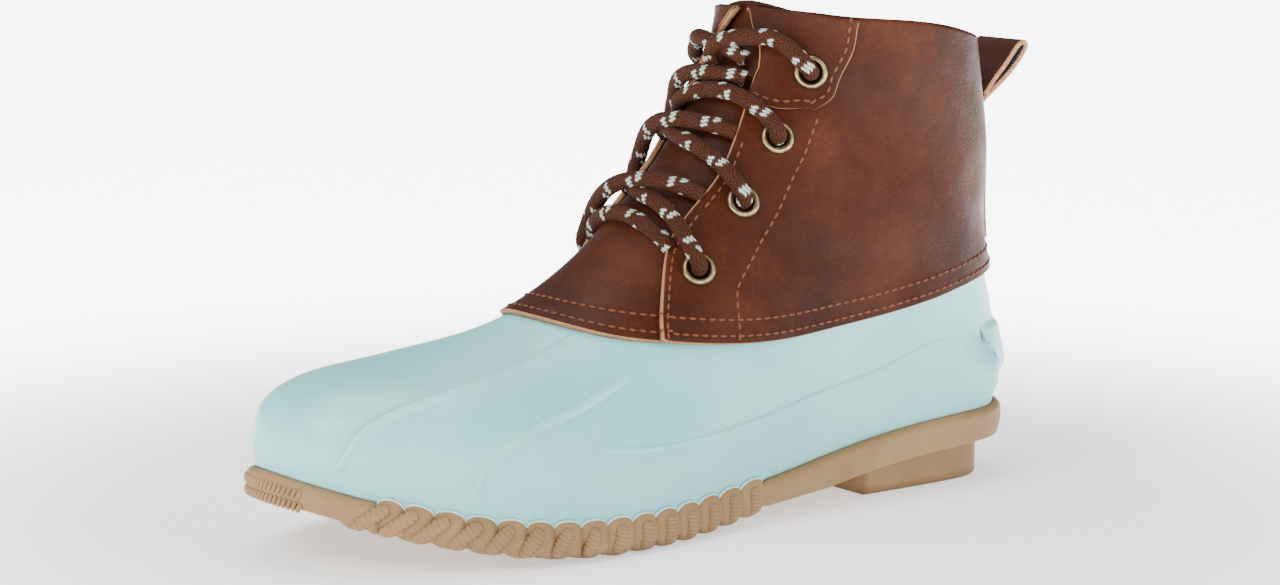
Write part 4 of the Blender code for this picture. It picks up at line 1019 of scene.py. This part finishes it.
# Eyelets: rolled antique-brass rings, four a side, each with a barrel down through the leather
# and a near-black dish behind it that is painted shade in the hole.
brass = new_material("antique_brass")
tarnish = noise(brass, 500, 5, 0.65)
finish_material(brass, ramp(brass, tarnish, (0.3, (0.15, 0.10, 0.045)), (0.6, (0.36, 0.27, 0.14))),
                mottled(brass, tarnish, 0.42, 0.27), bump(brass, (noise(brass, 3000, 3), 0.02, 0.5)),
                **{"Metallic": 1.0})
# The well is painted shade: a near-black dish set down in each eyelet's hole.
well = new_material("painted_shade_well")
finish_material(well, mottled(well, noise(well, 700), (0.004, 0.003, 0.002), (0.012, 0.008, 0.006)), 0.95,
                bump(well, (noise(well, 1500), 0.1, 0.5)))

# The ring's rolled profile up from the barrel and over: radius, height over the leather
ROLLED = [(3.5, -2.5), (3.45, 0.5), (3.6, 1.2), (4.15, 1.6), (4.9, 1.45), (5.4, 0.9), (5.55, 0.3),
          (5.5, 0.0), (5.2, -0.2)]
rolled = spline(range(len(ROLLED)), ROLLED)(np.linspace(0, len(ROLLED) - 1, 34))
inward = np.linspace(0, 1, 6)
dished = np.stack([3.6 - 3.55 * inward, -1.9 - 0.4 * inward ** 2], axis=1)
angle = np.linspace(0, 2 * math.pi, 65)
for seat, name in seats:
    for part, profile, made, slot in (("eyelet", rolled, brass, "antique_brass"),
                                      ("eyelet_shade_well", dished, well, "lining")):
        turned = np.stack([np.outer(np.cos(angle), profile[:, 0]), np.outer(np.sin(angle), profile[:, 0]),
                           np.tile(profile[:, 1], (65, 1))], axis=-1)
        flat = np.array([seat @ Vector(point * MM) for point in turned.reshape(-1, 3)]) / MM
        flat = np.stack([flat[:, 0] + BOX_MID_X, BOX_MID_FROM_HEEL - flat[:, 1], flat[:, 2]], axis=1)
        ring = piece(f"{part}_{name}", flat.reshape(turned.shape), [made], slot, wrap=True)
        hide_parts(f"eyelet_{name}")


# Laces: round braided cord, two crossing families of strands over a core, brown with pale
# flecks where two light yarns come up and painted shade where a strand dips. Each end goes
# down its eyelet or under a quarter.
cord = new_material("braided_cord")
fleck = node(cord, "Attribute", attribute_name="fleck").outputs["Fac"]
yarn = mottled(cord, noise(cord, 1500, 3), (0.034, 0.0095, 0.0038), (0.078, 0.024, 0.010))
yarn = mix(cord, fleck, yarn, (0.50, 0.58, 0.53))
# dip paints shade: the yarn darkens where a strand sinks between its neighbours.
dip = node(cord, "Attribute", attribute_name="dip").outputs["Fac"]
finish_material(cord, mix(cord, dip, yarn, (0.3, 0.26, 0.24), "MULTIPLY"), 0.85,
                bump(cord, (noise(cord, 5000, 3, 0.7), 0.12, 0.8)), **{"Specular IOR Level": 0.15})

# Strands on the last, each a list of (row, share, lift of the lace's middle)
LACE_BAR = [(9.3, 0.16, 3.9), (9.36, 0.08, 3.9), (9.4, 0.0, 3.9), (9.36, -0.08, 3.9),
            (9.3, -0.16, 3.9)]
LACES = {
    "lace_cross_1": [
        [(9.28, 0.297, 3.3), (9.29, 0.293, 6.6), (9.33, 0.27, 8.5), (9.43, 0.235, 8.2),
         (9.56, 0.192, 7.2), (9.74, 0.109, 5.2), (9.83, 0.028, 4.2), (9.97, -0.04, 3.9),
         (10.12, -0.1, 3.9), (10.19, -0.13, 3.9)],
        [(9.28, -0.297, 3.3), (9.29, -0.293, 6.6), (9.33, -0.27, 8.5), (9.42, -0.235, 8.3),
         (9.6, -0.165, 8.0), (9.76, -0.085, 8.0), (9.9, -0.02, 8.2), (10.05, 0.04, 7.2),
         (10.19, 0.09, 5.0), (10.26, 0.128, 3.9)],
    ],
    "lace_cross_2": [
        [(10.72, 0.234, 3.3), (10.73, 0.231, 6.6), (10.78, 0.212, 8.5), (10.87, 0.18, 7.9),
         (10.98, 0.145, 6.8), (11.09, 0.085, 4.9), (11.18, 0.016, 4.0), (11.35, -0.04, 3.9),
         (11.5, -0.092, 3.9)],
        [(10.72, -0.234, 3.3), (10.73, -0.231, 6.6), (10.78, -0.212, 8.5), (10.95, -0.17, 8.0),
         (11.15, -0.12, 7.8), (11.34, -0.05, 8.0), (11.47, 0.0, 7.2), (11.6, 0.045, 5.2),
         (11.72, 0.084, 3.9)],
    ],
    "lace_cross_3": [
        [(12.39, 0.186, 3.3), (12.4, 0.184, 6.6), (12.47, 0.169, 8.5), (12.58, 0.14, 8.0),
         (12.66, 0.1, 7.0), (12.62, 0.055, 5.0), (12.5, 0.02, 4.0), (12.32, -0.025, 3.9),
         (12.2, -0.062, 3.9)],
    ],
    "lace_cross_4": [
        [(12.39, -0.186, 3.3), (12.4, -0.184, 6.6), (12.49, -0.169, 8.5), (12.7, -0.14, 8.2),
         (12.9, -0.1, 8.2), (13.02, -0.05, 6.6), (13.08, 0.0, 4.2), (13.18, 0.03, 3.9),
         (13.28, 0.05, 3.9)],
    ],
    "lace_top": [
        [(15.3, 0.171, 4.6), (15.32, 0.171, 8.0), (15.55, 0.165, 9.9), (15.85, 0.14, 9.3),
         (15.85, 0.1, 8.4), (15.4, 0.07, 8.0), (14.9, 0.045, 7.9), (14.4, 0.012, 7.9),
         (14.05, -0.008, 6.4), (13.8, -0.015, 4.6), (13.62, -0.012, 3.9)],
        [(15.3, -0.171, 4.6), (15.32, -0.171, 8.0), (15.45, -0.155, 9.9), (15.4, -0.12, 8.9),
         (15.1, -0.085, 9.0), (14.75, -0.055, 7.8), (14.5, -0.025, 4.8), (14.32, 0.005, 3.9),
         (14.2, 0.028, 3.9)],
    ],
}
BAR_ENDS = [(9.26, 0.2, 2.6), (9.26, -0.2, 2.6)]
yarn_turns, braid_lay = 12, 22
lace_radius, yarn_stands = 2.4, 0.34


def braid(name, path, normal, high, offset):
    """A braided cord along a fine path, with its two strand families standing out in turn."""
    length = run_of(path)
    along = np.linspace(0, length[-1], int(length[-1] / 0.3))
    path, normal = read_along(along, length, path), read_along(along, length, normal)
    turn = np.linspace(0, 1, 61)
    twist = (along[:, None] + offset) / braid_lay
    first, second = yarn_turns * (turn[None] + twist), yarn_turns * (turn[None] - twist)
    carrier, crossing = np.floor(first), np.floor(first) - np.floor(second)
    over = crossing % 4 < 2
    rise = np.abs(np.sin(math.pi * np.where(over, first, second)))
    light = smooth_step((rise - 0.1) / 0.25) * (over & (carrier % 6 < 3) & (crossing // 4 % 4 < 2))
    shape = tube(path, normal, lace_radius + yarn_stands * rise ** 0.7, 60, np.interp(along, length, high))
    return piece(name, shape, [cord], "lace_cord", fleck=light, dip=1 - rise)


strands = [("lace_bar", LACE_BAR)] + [(name, strand) for name, both in LACES.items() for strand in both]
for k, (name, strand) in enumerate(strands):
    knots = np.array(strand)
    if name == "lace_bar":
        knots = np.vstack([BAR_ENDS[0], knots, BAR_ENDS[1]])
    else:
        start = knots[0] - (0, 0, 4.6)
        ahead = (knots[-1] - knots[-2]) * (1, 1, 0)
        knots = np.vstack([start, knots, knots[-1] + ahead * 0.9 - (0, 0, 0.9)])
    row, share, lift = spline(range(len(knots)), knots)(np.linspace(0, len(knots) - 1, 14 * len(knots))).T
    path = on_last(row, share, lift)
    normal = on_last(row, share, lift + 1) - path
    path = smoothed(path, 6)
    high = 1 - 0.28 * smooth_step((np.linspace(0, 1, len(path)) - 0.9) / 0.1)
    lace = braid(f"{name}_{k}", path, normal, high, 2.7 * k)
    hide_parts(name)


# Pull loop: a leather strap backed with grey webbing, sewn on at the heel. It runs up the heel's
# back under the collar, bends out and up, and folds back on itself to the heel.
webbing = new_material("grey_webbing")
place_of = node(webbing, "TexCoord").outputs["Object"]
threads = [node(webbing, "TexWave", {"Vector": place_of, "Scale": 420.0, "Distortion": 0.6},
                wave_type="BANDS", bands_direction=way).outputs["Fac"] for way in ("X", "Z")]
both = node(webbing, "Math", {0: threads[0], 1: threads[1]}, operation="MULTIPLY").outputs[0]
finish_material(webbing, ramp(webbing, both, (0.1, (0.03, 0.028, 0.03)), (0.6, (0.15, 0.145, 0.15))), 0.9,
                bump(webbing, (both, 0.5, 0.8), (noise(webbing, 2500), 0.1, 0.5)))

# Its bend in side view, out from the collar and back: from heel, height
LOOP_BEND = [(-3.6, 126.4), (-10.6, 132.7), (-17.6, 139.0), (-22.6, 144.9), (-23.0, 147.6), (-20.8, 148.8),
             (-17.3, 146.9), (-12.9, 141.9), (-7.2, 136.2), (-2.9, 131.2)]
loop_half_width, loop_share, strap_lift, strap_wall = 11.0, 0.092, 4.7, 1.8
across = np.linspace(-1, 1, 23)
loop = [on_last(np.full(23, row), np.sign(across) * (1 - loop_share * np.abs(across)) + (across == 0),
                np.full(23, strap_lift)) for row in (15.95, 16.35, 16.75, 17.1)]
bow = loop[-1][0, 1] - loop[-1][11, 1]
for k, (from_heel, height) in enumerate(LOOP_BEND):
    back_of = from_heel + bow * max(0.0, 1 - (k + 1) / 3) * across ** 2
    loop.append(np.stack([loop_half_width * across, back_of, np.full(23, height)], axis=1))
loop = refined(np.array(loop), 92)
strap = piece("pull_loop_strap", loop, [leather, webbing, raw], "brown_leather", flip=True)
wall(strap, strap_wall, inside=1, edge=2)
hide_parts("pull_loop")


# A plain pale studio floor whose paper glows, painted light that grows brighter away from
# the boot, and soft light from large sheets to either side and above.
paper = new_material("studio_paper")
place_of = node(paper, "TexCoord").outputs["Object"]
away = node(paper, "VectorMath", {0: place_of}, operation="LENGTH").outputs["Value"]
glow = node(paper, "MapRange", {"Value": away, "From Min": 0.16, "From Max": 0.5, "To Min": 0.8,
                                "To Max": 7.0}, interpolation_type="SMOOTHSTEP").outputs[0]
finish_material(paper, mottled(paper, noise(paper, 3, 2), 0.90, 0.92), 0.9,
                bump(paper, (noise(paper, 200, 2), 0.02, 0.1)),
                **{"Emission Color": (1.0, 1.0, 1.0), "Emission Strength": glow})
body = bmesh.new()
bmesh.ops.create_grid(body, x_segments=48, y_segments=48, size=7)
bmesh.ops.translate(body, verts=body.verts, vec=(0, 0, -0.0001))
mesh = mesh_of("studio_floor", body)
mesh.shade_smooth()
mesh.materials.append(paper)
floor = bpy.data.objects.new("studio_floor", mesh)
bpy.context.scene.collection.objects.link(floor)

world = bpy.data.worlds.new("studio")
world.use_nodes = True
world.node_tree.nodes["Background"].inputs["Color"].default_value = (0.96, 0.98, 1.0, 1)
world.node_tree.nodes["Background"].inputs["Strength"].default_value = 0.45
bpy.context.scene.world = world
for name, at, size, power in (("key", (0.2, -1.3, 1.3), 0.8, 22), ("fill", (1.5, 0.5, 0.9), 1.1, 14),
                              ("top", (-0.4, 0.1, 1.7), 1.3, 20)):
    lamp = bpy.data.lights.new(name, "AREA")
    lamp.shape = "SQUARE"
    lamp.size = size
    lamp.energy = power
    light = bpy.data.objects.new(name, lamp)
    aim = (Vector((0, 0, 0.07)) - Vector(at)).to_track_quat("-Z", "Y")
    light.matrix_world = Matrix.Translation(at) @ aim.to_matrix().to_4x4()
    bpy.context.scene.collection.objects.link(light)
